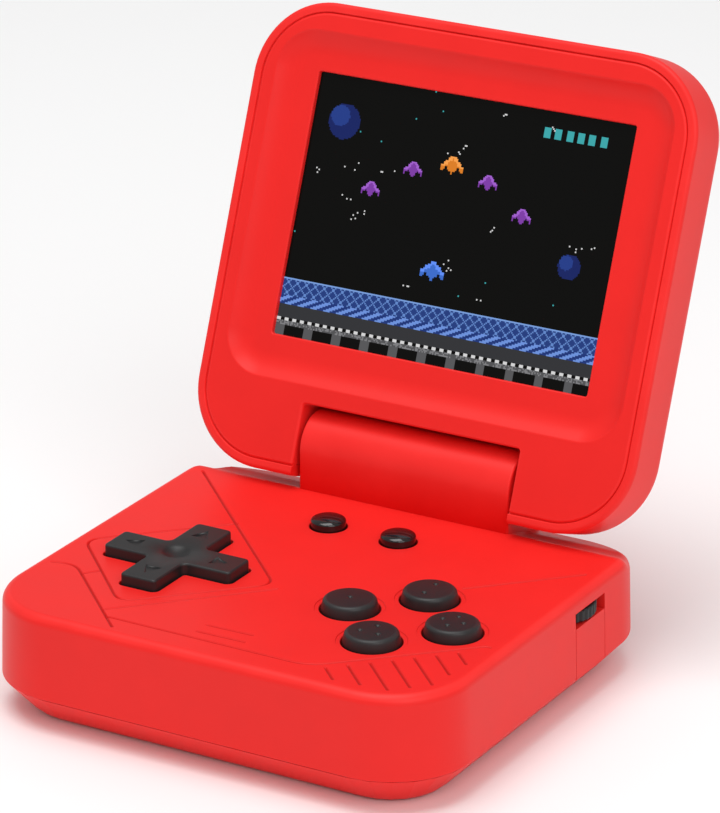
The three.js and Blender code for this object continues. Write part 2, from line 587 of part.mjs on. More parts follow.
// The battery door: a floor panel with the piece of chamfer behind it, and a rib down each side.
function batteryDoor() {
  const sheet = cut(tubSkin(0, DOOR.raise), tubSkin(LOOSE_GAP, DOOR_TOP));
  const reach = BAY.right - SLIDE_GAP;
  const panel = sheet.intersect(
    block(-reach, reach, DOOR_FRONT + SLIDE_GAP, BEYOND, 0, DOOR.lipTop),
  );
  const ribs = block(
    -reach - DOOR.rib, reach + DOOR.rib, DOOR_FRONT + SLIDE_GAP, BAY.back, DOOR_RIB_BOTTOM,
    DOOR_RIB_BOTTOM + DOOR.ribHeight,
  );
  return join(panel, ribs);
}

add("base_top_shell", upperShell(), "redPlastic");
add("base_bottom_shell", lowerShell(), "redPlastic");
add("battery_door", batteryDoor(), "redPlastic");

// ---------------------------------------------------------------- keys

function directionPad() {
  const top = DECK_HEIGHT + PAD.height;
  const options = {
    depth: top - PAD_FLANGE_TOP + FLANGE_THICKNESS / 2 - 2 * PAD_EDGE,
    bevelThickness: PAD_EDGE,
    bevelSize: PAD_EDGE,
    bevelOffset: -PAD_EDGE,
    bevelSegments: 2,
    curveSegments: CORNER_STEPS,
  };
  const cross = new THREE.ExtrudeGeometry(crossOutline(0), options);
  cross.translate(0, 0, PAD_FLANGE_TOP - FLANGE_THICKNESS / 2 + PAD_EDGE);
  const flange = post(
    PAD_FLANGE_RADIUS, PAD.x, PAD.y, PAD_FLANGE_BOTTOM, PAD_FLANGE_TOP, ROUND_STEPS,
  );
  const bowlRadius = (DIMPLE_RADIUS ** 2 + DIMPLE_DEPTH ** 2) / (2 * DIMPLE_DEPTH);
  const bowl = new THREE.SphereGeometry(bowlRadius, ROUND_STEPS, ROUND_STEPS);
  bowl.rotateX(Math.PI / 2).translate(PAD.x, PAD.y, top + bowlRadius - DIMPLE_DEPTH);
  const socket = new THREE.SphereGeometry(BALL_RADIUS + BALL_CAP_GAP, SMALL_STEPS, SMALL_STEPS / 2);
  return cut(
    join(solid(cross), flange), solid(bowl), solid(socket.translate(PAD.x, PAD.y, BALL_Z)),
  );
}

function keyProfile(radius, side, top, edge) {
  const rim = edgeAngles.map((angle) => [
    radius - edge * (1 - Math.cos(angle)), side + edge * Math.sin(angle),
  ]);
  return [
    [0, FLANGE_BOTTOM], [radius + BUTTON_FLANGE, FLANGE_BOTTOM], [radius + BUTTON_FLANGE, FLANGE_TOP],
    [radius, FLANGE_TOP], ...rim, [0, top],
  ];
}

add("dpad", directionPad(), "blackPlastic");
const ball = new THREE.SphereGeometry(BALL_RADIUS, SMALL_STEPS, SMALL_STEPS / 2);
add("dpad_pivot", solid(ball.translate(PAD.x, PAD.y, BALL_Z)), "blackPlastic");
for (const [name, x, y] of ACTION_BUTTONS) {
  const side = DECK_HEIGHT + BUTTON_HEIGHT - BUTTON_EDGE;
  add(name, turned(keyProfile(BUTTON_RADIUS, side, side + BUTTON_EDGE, BUTTON_EDGE), x, y), "blackPlastic");
}
for (const [name, x, y] of MENU_BUTTONS) {
  const profile = keyProfile(DOME_RADIUS, DECK_HEIGHT + DOME_SIDE, DECK_HEIGHT + DOME_HEIGHT, DOME_SIDE / 2);
  add(name, turned(profile, x, y), "glossBlack");
}

// ---------------------------------------------------------------- rubber under the keys

const SHEET_BOTTOM = BOARD_TOP + REST_GAP;
const SHEET_TOP = SHEET_BOTTOM + MEMBRANE_SHEET;
const DOME_NECK = 0.65; // a rubber dome's top to its foot
const PAD_DOMES_AT = 0.68; // where the four domes under the direction pad stand, of its reach
const DOME_SHARE = 0.8; // a rubber dome's foot to the narrow key over it
const BUTTON_DOME_SHARE = 0.7; // and to the round button over it

// A rubber dome that reaches up to the underside of a key.
function rubberDome(x, y, radius, top) {
  const neck = radius * DOME_NECK;
  const profile = [
    [0, SHEET_BOTTOM], [radius, SHEET_BOTTOM], [radius, SHEET_TOP], [neck, top], [0, top],
  ];
  return turned(profile, x, y, SMALL_STEPS);
}

const padDomes = CORNERS.map((_, i) => {
  const angle = (i * Math.PI) / 2;
  const reach = PAD.reach * PAD_DOMES_AT;
  const x = PAD.x + reach * Math.cos(angle);
  const y = PAD.y + reach * Math.sin(angle);
  return rubberDome(x, y, PAD.half * DOME_SHARE, PAD_FLANGE_BOTTOM - REST_GAP);
});
const padSheet = post(PAD.reach, PAD.x, PAD.y, SHEET_BOTTOM, SHEET_TOP, ROUND_STEPS);
const padRest = post(BALL_RADIUS, PAD.x, PAD.y, SHEET_BOTTOM, BALL_Z - BALL_RADIUS - REST_GAP);
add("dpad_membrane", join(padSheet, ...padDomes, padRest), "greyRubber");

const actionSheet = post(
  CLUSTER.spread + BUTTON_RADIUS, CLUSTER.x, CLUSTER.y, SHEET_BOTTOM, SHEET_TOP, ROUND_STEPS,
);
const actionDomes = ACTION_BUTTONS.map(([, x, y]) => {
  return rubberDome(x, y, BUTTON_RADIUS * BUTTON_DOME_SHARE, FLANGE_BOTTOM - REST_GAP);
});
add("action_membrane", join(actionSheet, ...actionDomes), "greyRubber");

const menuHalf = (DOME_BUTTONS.right - DOME_BUTTONS.left) / 2 + DOME_RADIUS;
const menuMiddle = (DOME_BUTTONS.right + DOME_BUTTONS.left) / 2;
const menuSheet = plate(
  rounded(menuHalf, DOME_RADIUS, DOME_RADIUS / 2, menuMiddle, DOME_BUTTONS.y), SHEET_BOTTOM, SHEET_TOP,
);
const menuDomes = MENU_BUTTONS.map(([, x, y]) => {
  return rubberDome(x, y, DOME_RADIUS * DOME_SHARE, FLANGE_BOTTOM - REST_GAP);
});
add("menu_membrane", join(menuSheet, ...menuDomes), "greyRubber");

// ---------------------------------------------------------------- board and what is on it

function mainBoard() {
  const sheet = plate(baseOutline(BOARD_MARGIN, BOARD_TOP), BOARD_BOTTOM, BOARD_TOP);
  const bossHoles = CORNERS.map(([sx, sy]) => {
    const radius = CASE_SCREW.shank + BOSS_WALL + LOOSE_GAP;
    return post(radius, sx * SCREW_X, sy * SCREW_Y, 0, BEYOND);
  });
  const screwHoles = BOARD_SCREWS.map(([x, y]) => post(BOARD_SCREW.shank + RUNNING_GAP, x, y, 0, BEYOND));
  return cut(sheet, ...bossHoles, ...screwHoles);
}
add("main_board", mainBoard(), "boardGreen");

const chip = (x, y, half) => block(
  x - half, x + half, y - half, y + half,
  BOARD_BOTTOM - REST_GAP - CHIPS.height, BOARD_BOTTOM - REST_GAP,
);
add("processor_chip", chip(...CHIPS.processor), "chipBlack");
add("memory_chip", chip(...CHIPS.memory), "chipBlack");

for (const [i, [x, y]] of BOARD_SCREWS.entries()) {
  const seat = BOARD_BOTTOM - REST_GAP;
  const profile = [
    [0, seat - BOARD_SCREW.headHeight], [BOARD_SCREW.head, seat - BOARD_SCREW.headHeight],
    [BOARD_SCREW.head, seat], [BOARD_SCREW.shank, seat], [BOARD_SCREW.shank, BOARD_SCREW_TIP],
    [0, BOARD_SCREW_TIP],
  ];
  add(`board_screw_${i + 1}`, turned(profile, x, y, SMALL_STEPS), "steel");
}

for (const [i, [sx, sy]] of CORNERS.entries()) {
  const seat = CASE_SCREW_LEDGE - REST_GAP;
  const profile = [
    [0, seat - CASE_SCREW.headHeight], [CASE_SCREW.head, seat - CASE_SCREW.headHeight],
    [CASE_SCREW.head, seat], [CASE_SCREW.shank, seat], [CASE_SCREW.shank, CASE_SCREW_SHANK_TOP],
    [0, CASE_SCREW_SHANK_TOP],
  ];
  const [x, y] = [sx * SCREW_X, sy * SCREW_Y];
  add(`case_screw_${i + 1}`, turned(profile, x, y, SMALL_STEPS), "steel");
}

// ---------------------------------------------------------------- volume wheel

function volumeWheel() {
  const outline = new THREE.Shape();
  for (let i = 0; i < 2 * WHEEL.knurls; i++) {
    const angle = (Math.PI * i) / WHEEL.knurls;
    const radius = WHEEL.radius - (i % 2) * WHEEL.knurlDepth;
    const point = [WHEEL_X + radius * Math.cos(angle), WHEEL.y + radius * Math.sin(angle)];
    if (i === 0) outline.moveTo(...point);
    else outline.lineTo(...point);
  }
  const disc = plate(outline, WHEEL_BOTTOM, WHEEL_TOP);
  return cut(disc, post(POST_RADIUS + RUNNING_GAP, WHEEL_X, WHEEL.y, 0, BEYOND));
}

const potTop = WHEEL_BOTTOM - SLIDE_GAP;
const potDisc = post(TAB_INNER - LOOSE_GAP - WHEEL_X, WHEEL_X, WHEEL.y, SHEET_BOTTOM, potTop);
const potPost = post(POST_RADIUS, WHEEL_X, WHEEL.y, SHEET_BOTTOM, WHEEL_TOP - REST_GAP);
add("volume_potentiometer", join(potDisc, potPost), "chipBlack");
add("volume_wheel", volumeWheel(), "blackPlastic");

// ---------------------------------------------------------------- power switch

const WALL_INNER = wallFaceAt(SWITCH_Z) - SHELL_WALL;
const SWITCH_OVERHANG = 0.6; // the switch stands out past the board's edge
const SWITCH_FACE = BOARD_MARGIN - HALF_WIDTH - SWITCH_OVERHANG;
const switchBody = block(
  SWITCH_FACE, SWITCH_FACE + SWITCH.depth, POWER.y - SWITCH.half, POWER.y + SWITCH.half,
  SHEET_BOTTOM, SWITCH_Z + SWITCH.cover,
);
const tongueTravel = POWER.travel / 2 + SWITCH.tongueHalf + SLIDE_GAP;
const mouthHalf = SWITCH.mouth + SLIDE_GAP;
const switchMouth = block(
  SWITCH_FACE - PAST, SWITCH_FACE + SWITCH.tongueDepth + SLIDE_GAP,
  POWER.y - tongueTravel, POWER.y + tongueTravel, SWITCH_Z - mouthHalf, SWITCH_Z + mouthHalf,
);
add("power_switch", cut(switchBody, switchMouth), "steel");

function powerSlider() {
  const middle = POWER.y + POWER.travel / 2;
  const half = POWER.capLength / 2;
  const plateX = -WALL_INNER + LOOSE_GAP;
  const plateMiddle = plateX + KEEPER.thickness / 2;
  const rise = POWER.capHeight / 2;
  const cap = block(
    -wallFaceAt(SWITCH_Z) - POWER.proud, plateMiddle, middle - half, middle + half,
    SWITCH_Z - rise, SWITCH_Z + rise,
  );
  const keeper = block(
    plateX, plateX + KEEPER.thickness, middle - half - KEEPER.wider, middle + half + KEEPER.wider,
    SWITCH_Z - rise - KEEPER.taller, SWITCH_Z + rise + KEEPER.taller,
  );
  const tongue = block(
    plateMiddle, SWITCH_FACE + SWITCH.tongueDepth,
    middle - SWITCH.tongueHalf, middle + SWITCH.tongueHalf,
    SWITCH_Z - SWITCH.mouth, SWITCH_Z + SWITCH.mouth,
  );
  return join(cap, keeper, tongue);
}
add("power_slider", powerSlider(), "blackPlastic");

// ---------------------------------------------------------------- sockets

function videoJack() {
  const face = -HALF_WIDTH + SHELL_WALL + LOOSE_GAP;
  const tip = -wallFaceAt(JACK_Z) + LOOSE_GAP;
  const body = block(
    face, face + JACK.length, JACK.y - JACK.width / 2, JACK.y + JACK.width / 2,
    SHEET_BOTTOM, CEILING - LOOSE_GAP,
  );
  const nose = axle(JACK.nose, tip, face + LOOSE_GAP, JACK.y, JACK_Z, SMALL_STEPS);
  const bore = axle(JACK.bore, tip - PAST, face + JACK.length * JACK.boreShare, JACK.y, JACK_Z, SMALL_STEPS);
  return cut(join(body, nose), bore);
}
add("video_jack", videoJack(), "chipBlack");

const PORT_BACK = 1; // thickness of the port's back wall

function chargePort() {
  const tip = HALF_DEPTH + draftAt(PORT_TOP) - LOOSE_GAP;
  const half = PORT.width / 2;
  const bottom = PORT_TOP - PORT.height;
  const can = block(PORT.x - half, PORT.x + half, tip - PORT.depth, tip, bottom, PORT_TOP);
  const mouth = block(
    PORT.x - half + PORT.wall, PORT.x + half - PORT.wall, tip - PORT.depth + PORT_BACK, tip + PAST,
    bottom + PORT.wall, PORT_TOP - PORT.wall,
  );
  const tongue = block(
    PORT.x - half + PORT.tongueSide, PORT.x + half - PORT.tongueSide,
    tip - PORT.depth + PORT_BACK / 2, tip - PORT_BACK,
    bottom + PORT.height / 2, bottom + PORT.height / 2 + PORT.tongue,
  );
  return join(cut(can, mouth), tongue);
}
add("charge_port", chargePort(), "steel");

// ---------------------------------------------------------------- battery and speaker

const batteryBottom = SHELL_WALL + LOOSE_GAP;
const battery = plate(
  rounded(BATTERY.width / 2, BATTERY.depth / 2, BATTERY.corner, 0, BATTERY.front + BATTERY.depth / 2),
  batteryBottom, batteryBottom + BATTERY.thickness,
);
add("battery_pack", battery, "cellWrap");

const blockFront = BAY.front + REST_GAP;
add("battery_contact_block", block(
  -CONTACT_BLOCK.half, CONTACT_BLOCK.half, blockFront, blockFront + CONTACT_BLOCK.depth,
  CONTACT_BLOCK.low, CONTACT_BLOCK.high,
), "chipBlack");
for (const [i, x] of [-CONTACT.spacing, 0, CONTACT.spacing].entries()) {
  const from = blockFront + CONTACT_BLOCK.depth + REST_GAP;
  const to = BATTERY.front - REST_GAP;
  const leaf = new THREE.Shape([
    new THREE.Vector2(from, CONTACT_BLOCK.low),
    new THREE.Vector2(from + CONTACT.foil, CONTACT_BLOCK.low),
    new THREE.Vector2(to, (CONTACT_BLOCK.low + CONTACT_BLOCK.high) / 2),
    new THREE.Vector2(from + CONTACT.foil, CONTACT_BLOCK.high),
    new THREE.Vector2(from, CONTACT_BLOCK.high),
  ]);
  const strip = new THREE.ExtrudeGeometry(leaf, { depth: CONTACT.width, bevelEnabled: false });
  strip.rotateZ(Math.PI / 2).rotateY(Math.PI / 2);
  add(`battery_contact_${i + 1}`, solid(strip.translate(x - CONTACT.width / 2, 0, 0)), "brass");
}

const speakerSeat = SHELL_WALL + REST_GAP;
add("speaker", turned([
  [0, speakerSeat], [SPEAKER.radius, speakerSeat], [SPEAKER.radius, speakerSeat + SPEAKER.flange],
  [SPEAKER.magnet, speakerSeat + 2 * SPEAKER.flange], [SPEAKER.magnet, speakerSeat + SPEAKER.height],
  [0, speakerSeat + SPEAKER.height],
], SPEAKER.x, SPEAKER.y), "chipBlack");

// A cable of round section along a smooth curve through points.
function cable(points, radius) {
  const circle = new THREE.Shape().absarc(0, 0, radius, 0, 2 * Math.PI);
  const path = new THREE.CatmullRomCurve3(points.map((point) => new THREE.Vector3(...point)));
  return solid(new THREE.ExtrudeGeometry(circle, { steps: 14, curveSegments: 4, extrudePath: path }));
}
const solderX = SPEAKER.x - SPEAKER.radius - 2 * CABLE_RADIUS; // where the cable meets the board
const cableStart = [
  SPEAKER.x - SPEAKER.magnet - CABLE_RADIUS - LOOSE_GAP, SPEAKER.y, speakerSeat + 3 * SPEAKER.flange,
];
const cableBend = [solderX, SPEAKER.y + SPEAKER.radius / 5, (speakerSeat + BOARD_BOTTOM) / 2];
const cableEnd = [solderX, SPEAKER.y + SPEAKER.radius / 3, BOARD_BOTTOM - CABLE_RADIUS - LOOSE_GAP];
add("speaker_cable", cable([cableStart, cableBend, cableEnd], CABLE_RADIUS), "blackPlastic");

// ---------------------------------------------------------------- hinge hardware

// Along the axis, from the middle outwards, as seen on the positive side.
const shaftInner = KNUCKLE_HALF - SHAFT_IN_KNUCKLE;
const shaftOuter = NOTCH_HALF + SHAFT_IN_LID;
const keyOuter = shaftOuter - KEY_SETBACK;
const keyInner = keyOuter - KEY_LENGTH;

const cartridge = cut(
  axle(CARTRIDGE_RADIUS, -KNUCKLE_HALF + RUNNING_GAP, CARTRIDGE_INNER, HINGE_Y, HINGE_Z),
  axle(
    SHAFT_RADIUS + RUNNING_GAP, -KNUCKLE_HALF - PAST, LOOSE_GAP - shaftInner, HINGE_Y, HINGE_Z,
    SMALL_STEPS,
  ),
);
add("hinge_cartridge", cartridge, "steel");

const camShaft = join(
  axle(SHAFT_RADIUS, -shaftOuter, -shaftInner, 0, 0, SMALL_STEPS),
  block(-keyOuter, -keyInner, -KEY_HALF, KEY_HALF, -KEY_HALF, KEY_HALF),
);
add("hinge_shaft", camShaft, "steel", lid);

const sleeve = cut(
  join(
    axle(SLEEVE_RADIUS, shaftInner, shaftOuter, 0, 0),
    block(keyInner, keyOuter, -KEY_HALF, KEY_HALF, -KEY_HALF, KEY_HALF),
  ),
  axle(SLEEVE_BORE, 0, BEYOND, 0, 0, SMALL_STEPS),
);
add("hinge_sleeve", sleeve, "steel", lid);

// ---------------------------------------------------------------- lid shells

const ROLL_RADIUS = SLEEVE_BORE - RUNNING_GAP; // of the ribbon where it passes through the sleeve

// Room that shaft, sleeve, their square keys and the rolled ribbon need in the lid's two halves.
function hingeSeats() {
  const keySide = KEY_HALF + RUNNING_GAP;
  return [
    axle(SHAFT_RADIUS + RUNNING_GAP, -shaftOuter - LOOSE_GAP, 0, 0, 0, SMALL_STEPS),
    axle(SLEEVE_RADIUS + RUNNING_GAP, 0, shaftOuter + LOOSE_GAP, 0, 0),
    axle(ROLL_RADIUS + SLIDE_GAP, shaftOuter, seatEnd + PAST, 0, 0, SMALL_STEPS),
    block(-keyOuter - RUNNING_GAP, -keyInner + RUNNING_GAP, -keySide, keySide, -keySide, keySide),
    block(keyInner - RUNNING_GAP, keyOuter + RUNNING_GAP, -keySide, keySide, -keySide, keySide),
  ];
}

const notch = block(-NOTCH_HALF, NOTCH_HALF, -BEYOND, NOTCH_TOP, -BEYOND, BEYOND);
const notchWalled = block(
  -NOTCH_HALF - LID_WALL, NOTCH_HALF + LID_WALL, -BEYOND, NOTCH_TOP + LID_WALL, -BEYOND, BEYOND,
);
const SEAT_SPLIT = SEAM_GAP / 2;
const SEAT_HALF = 4;
const SEAT_END_WALL = 1.5;
const seatEnd = shaftOuter + SEAT_END_WALL;

// The two blocks that grip the hinge pieces, between two depths.
function seatBlocks(z0, z1) {
  return [-1, 1].map((side) => {
    const [x0, x1] = side < 0 ? [-seatEnd, -NOTCH_HALF] : [NOTCH_HALF, seatEnd];
    return block(x0, x1, -SEAT_HALF, SEAT_HALF, z0, z1);
  });
}

const LID_SCREW_TIP = SCREW_LEDGE + LID_SCREW.length;
const LID_SCREW_X = LID_WIDTH / 2 - LID_SCREW_INSET.side;
const LID_SCREW_HEIGHTS = [LID_BOTTOM + LID_SCREW_INSET.bottom, LID_TOP - LID_SCREW_INSET.top];
const LID_SCREWS = [-1, 1].flatMap((side) => LID_SCREW_HEIGHTS.map((y) => [side * LID_SCREW_X, y]));

function lidRearShell() {
  const levels = edgeAngles.map((angle) => [
    LID_FACE - LID_SIDE_DEPTH - (LID_THICKNESS - LID_SIDE_DEPTH) * Math.sin(angle),
    lidOutline(LID_BACK_ROUND * (1 - Math.cos(angle))),
  ]).reverse();
  levels.push([LID_FACE - LID_RIM_ROUND, lidOutline(0)]);
  levels.push([LID_FACE, lidOutline(LID_RIM_ROUND)]);
  const middle = (LID_TOP + LID_BOTTOM) / 2;
  const room = loft([
    [LID_BACK_INNER, lidOutline(LID_BACK_ROUND)],
    [LID_FACE - LID_SIDE_DEPTH, lidOutline(LID_WALL)],
    [LID_FACE + PAST, lidOutline(LID_WALL)],
  ], middle);
  const tray = cut(loft(levels, middle), cut(room, notchWalled), notch);
  const bezelBay = block(
    -NOTCH_HALF - LID_WALL, NOTCH_HALF + LID_WALL, LID_BOTTOM + LID_WALL, NOTCH_TOP + LID_WALL,
    -SEAT_SPLIT, BEYOND,
  );
  const holes = LID_SCREWS.flatMap(([x, y]) => [
    post(LID_SCREW.shank + RUNNING_GAP, x, y, -BEYOND, BEYOND),
    post(LID_SCREW.head + RUNNING_GAP, x, y, -BEYOND, SCREW_LEDGE),
  ]);
  const cups = LID_SCREWS.map(([x, y]) => {
    return post(LID_SCREW.head + LID_SCREW_CUP, x, y, LID_BACK + LID_WALL / 2, SCREW_CUP_TOP);
  });
  const seats = seatBlocks(LID_BACK + LID_WALL / 2, -SEAT_SPLIT);
  const gripped = join(cut(tray, bezelBay), ...cups, ...seats);
  return cut(gripped, ...holes, ...hingeSeats());
}

function recess() {
  const side = LID_WIDTH / 2 - RECESS_SIDE;
  const top = LID_TOP - RECESS_TOP;
  const bottom = LID_BOTTOM + RECESS_BOTTOM;
  const middle = (top + bottom) / 2;
  const half = (top - bottom) / 2;
  const ring = (z, inset) => [z, rounded(side - inset, half - inset, RECESS_RADIUS - inset, 0, middle)];
  return loft([
    ring(RECESS_FLOOR, RECESS_SLOPE), ring(LID_FACE, 0), ring(LID_FACE + PAST, 0),
  ], middle);
}

// A rectangle round the screen, wider than it by a margin.
const screenRect = (margin, radius) => rounded(
  SCREEN_WIDTH / 2 + margin, SCREEN_HEIGHT / 2 + margin, radius, 0, SCREEN_MIDDLE,
);

function lidBezel() {
  const sheet = plate(lidOutline(LID_WALL + BEZEL_GAP), BEZEL_BACK, LID_FACE);
  const notchWall = cut(
    block(
      -NOTCH_HALF - LID_WALL + BEZEL_GAP, NOTCH_HALF + LID_WALL - BEZEL_GAP,
      LID_BOTTOM + LID_WALL + BEZEL_GAP, NOTCH_TOP + LID_WALL - BEZEL_GAP, SEAT_SPLIT, LID_FACE,
    ),
    notch,
  );
  const lensPocket = plate(
    screenRect(LENS_OVERLAP + LOOSE_GAP, LENS_CORNER), BEZEL_BACK - PAST, LENS_TOP + REST_GAP,
  );
  const bosses = LID_SCREWS.map(([x, y]) => {
    return post(LID_SCREW.shank + LID_SCREW_LEDGE, x, y, SCREW_CUP_TOP + REST_GAP, BEZEL_BACK + PAST);
  });
  const pilots = LID_SCREWS.map(([x, y]) => {
    return post(LID_SCREW.shank + RUNNING_GAP, x, y, SCREW_CUP_TOP, LID_SCREW_TIP + SLIDE_GAP);
  });
  const body = join(
    cut(sheet, notch), notchWall, ...bosses, ...seatBlocks(SEAT_SPLIT, BEZEL_BACK + PAST),
  );
  return cut(
    body, recess(), lensPocket, plate(screenRect(0, WINDOW_CORNER), -BEYOND, BEYOND),
    ...pilots, ...hingeSeats(),
  );
}

add("lid_rear_shell", lidRearShell(), "redPlastic", lid);
add("lid_bezel", lidBezel(), "redPlastic", lid);

for (const [i, [x, y]] of LID_SCREWS.entries()) {
  const seat = SCREW_LEDGE - REST_GAP;
  const profile = [
    [0, seat - LID_SCREW.headHeight], [LID_SCREW.head, seat - LID_SCREW.headHeight],
    [LID_SCREW.head, seat], [LID_SCREW.shank, seat], [LID_SCREW.shank, LID_SCREW_TIP], [0, LID_SCREW_TIP],
  ];
  add(`lid_screw_${i + 1}`, turned(profile, x, y, SMALL_STEPS), "steel", lid);
}

// ---------------------------------------------------------------- screen stack

add("screen_lens", plate(screenRect(LENS_OVERLAP, LENS_CORNER), LENS_BACK, LENS_TOP), "screenGlass", lid);
add("lcd_panel", plate(screenRect(PANEL_MARGIN, WINDOW_CORNER), PANEL_BACK, PANEL_TOP), "chipBlack", lid);
const frameMargin = PANEL_MARGIN + BEZEL_GAP + FRAME_WALL;
const lcdFrame = cut(
  plate(screenRect(frameMargin, LENS_CORNER), FRAME_BACK, PANEL_TOP - SEAM_GAP),
  plate(screenRect(PANEL_MARGIN + BEZEL_GAP, WINDOW_CORNER), FRAME_BACK + FRAME_WALL, BEYOND),
);
add("lcd_frame", lcdFrame, "steel", lid);

const displayBoardFoot = LID_BOTTOM + SCREEN_BELOW - frameMargin - DISPLAY_BOARD.below;
const displayBoardTop = FRAME_BACK - REST_GAP;
const displayBoardBack = displayBoardTop - DISPLAY_BOARD_THICKNESS;
add("display_board", block(
  DISPLAY_BOARD.left, DISPLAY_BOARD.right, displayBoardFoot, displayBoardFoot + DISPLAY_BOARD.height,
  displayBoardBack, displayBoardTop,
), "boardGreen", lid);

// ---------------------------------------------------------------- ribbon cable

// The lid's share: from the display board down behind the seat, rolled up to pass through the sleeve.
const ribbonLeft = seatEnd + RUNNING_GAP;
const ribbonRight = ribbonLeft + RIBBON.folded;
const ribbonTop = displayBoardFoot - REST_GAP;
const displayRibbon = join(
  axle(ROLL_RADIUS, RIBBON.left + RIBBON.width + RIBBON_ROOM.left, ribbonRight, 0, 0, SMALL_STEPS),
  block(ribbonLeft, ribbonRight, -ROLL_RADIUS, ribbonTop, -RIBBON.thickness / 2, RIBBON.thickness / 2),
  block(
    DISPLAY_BOARD.right - RIBBON.folded, ribbonRight, ribbonTop - RIBBON.folded, ribbonTop,
    displayBoardBack, RIBBON.thickness / 2,
  ),
);
add("display_ribbon_cable", displayRibbon, "amberFilm", lid);

// The base's share: hangs in the knuckle's duct and bends forward to its connector on the board.
const connectorBack = RIDGE_Y - CONNECTOR.setback;
const ribbonLow = SHEET_BOTTOM + CONNECTOR.height / 2;
const baseRibbon = join(
  block(
    RIBBON.left, RIBBON.left + RIBBON.width, HINGE_Y - RIBBON.thickness / 2, HINGE_Y + RIBBON.thickness / 2,
    ribbonLow, HINGE_Z,
  ),
  block(
    RIBBON.left, RIBBON.left + RIBBON.width, connectorBack + REST_GAP, HINGE_Y + RIBBON.thickness / 2,
    ribbonLow - RIBBON.thickness / 2, ribbonLow + RIBBON.thickness / 2,
  ),
);
add("base_ribbon_cable", baseRibbon, "amberFilm");
add("ribbon_connector", block(
  RIBBON.left - CONNECTOR.wider, RIBBON.left + RIBBON.width + CONNECTOR.wider,
  connectorBack - CONNECTOR.depth, connectorBack,
  SHEET_BOTTOM, SHEET_BOTTOM + CONNECTOR.height,
), "chipBlack");

export default game;
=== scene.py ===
"""Handheld LCD game, open on a pale floor: visual pieces on the fixed CAD frame.

Sizes in the dataclasses are millimetres, as in the CAD model; meshes are made in metres.
"""
import json
import logging
import math
from dataclasses import dataclass, field
from enum import Enum
from typing import Callable, Iterable, Optional, Sequence

import bmesh
import bpy
import numpy as np
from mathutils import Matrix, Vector, geometry


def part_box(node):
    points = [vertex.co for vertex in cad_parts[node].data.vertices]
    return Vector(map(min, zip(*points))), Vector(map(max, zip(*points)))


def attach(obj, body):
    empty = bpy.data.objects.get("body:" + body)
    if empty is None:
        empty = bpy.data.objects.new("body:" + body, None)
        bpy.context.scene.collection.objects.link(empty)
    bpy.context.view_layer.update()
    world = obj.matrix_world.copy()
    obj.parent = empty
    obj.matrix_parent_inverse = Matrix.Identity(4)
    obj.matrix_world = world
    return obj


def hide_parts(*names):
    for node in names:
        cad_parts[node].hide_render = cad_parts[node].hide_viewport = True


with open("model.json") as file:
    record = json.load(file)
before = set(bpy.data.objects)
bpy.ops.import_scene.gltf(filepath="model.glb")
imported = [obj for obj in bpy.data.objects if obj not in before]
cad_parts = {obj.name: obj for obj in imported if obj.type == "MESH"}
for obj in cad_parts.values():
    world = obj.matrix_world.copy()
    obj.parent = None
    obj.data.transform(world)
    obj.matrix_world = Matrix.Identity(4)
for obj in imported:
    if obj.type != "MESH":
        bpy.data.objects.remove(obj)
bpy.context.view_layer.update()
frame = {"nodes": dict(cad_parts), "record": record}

Array = np.ndarray
Shape = Callable[[Array, Array], Array]

MM = 0.001
STEP = 1e-3  # change of a parameter when a slope is taken
STEER = 5.0  # how far a profile's first and last row stand off; they only steer the end normals
SOFT = 0.4  # share of a ramp that each of its rounded ends takes
SHORT = 0.5  # a profile's steps below this are an edge, which shows wear
MERGE = 1e-5  # points of a region that are closer become one
SLIVER = 1e-7  # a region's triangles with less than half of this area are dropped
SPARE = 0.01  # two marks on an outline that are closer are the same
WELD = 0.004  # vertices of a piece that are closer become one
TINY = 1e-12  # keeps a division off zero
QUARTER = math.pi / 2
log = logging.getLogger("handheld")


# ------------------------------------------------------------------ outlines

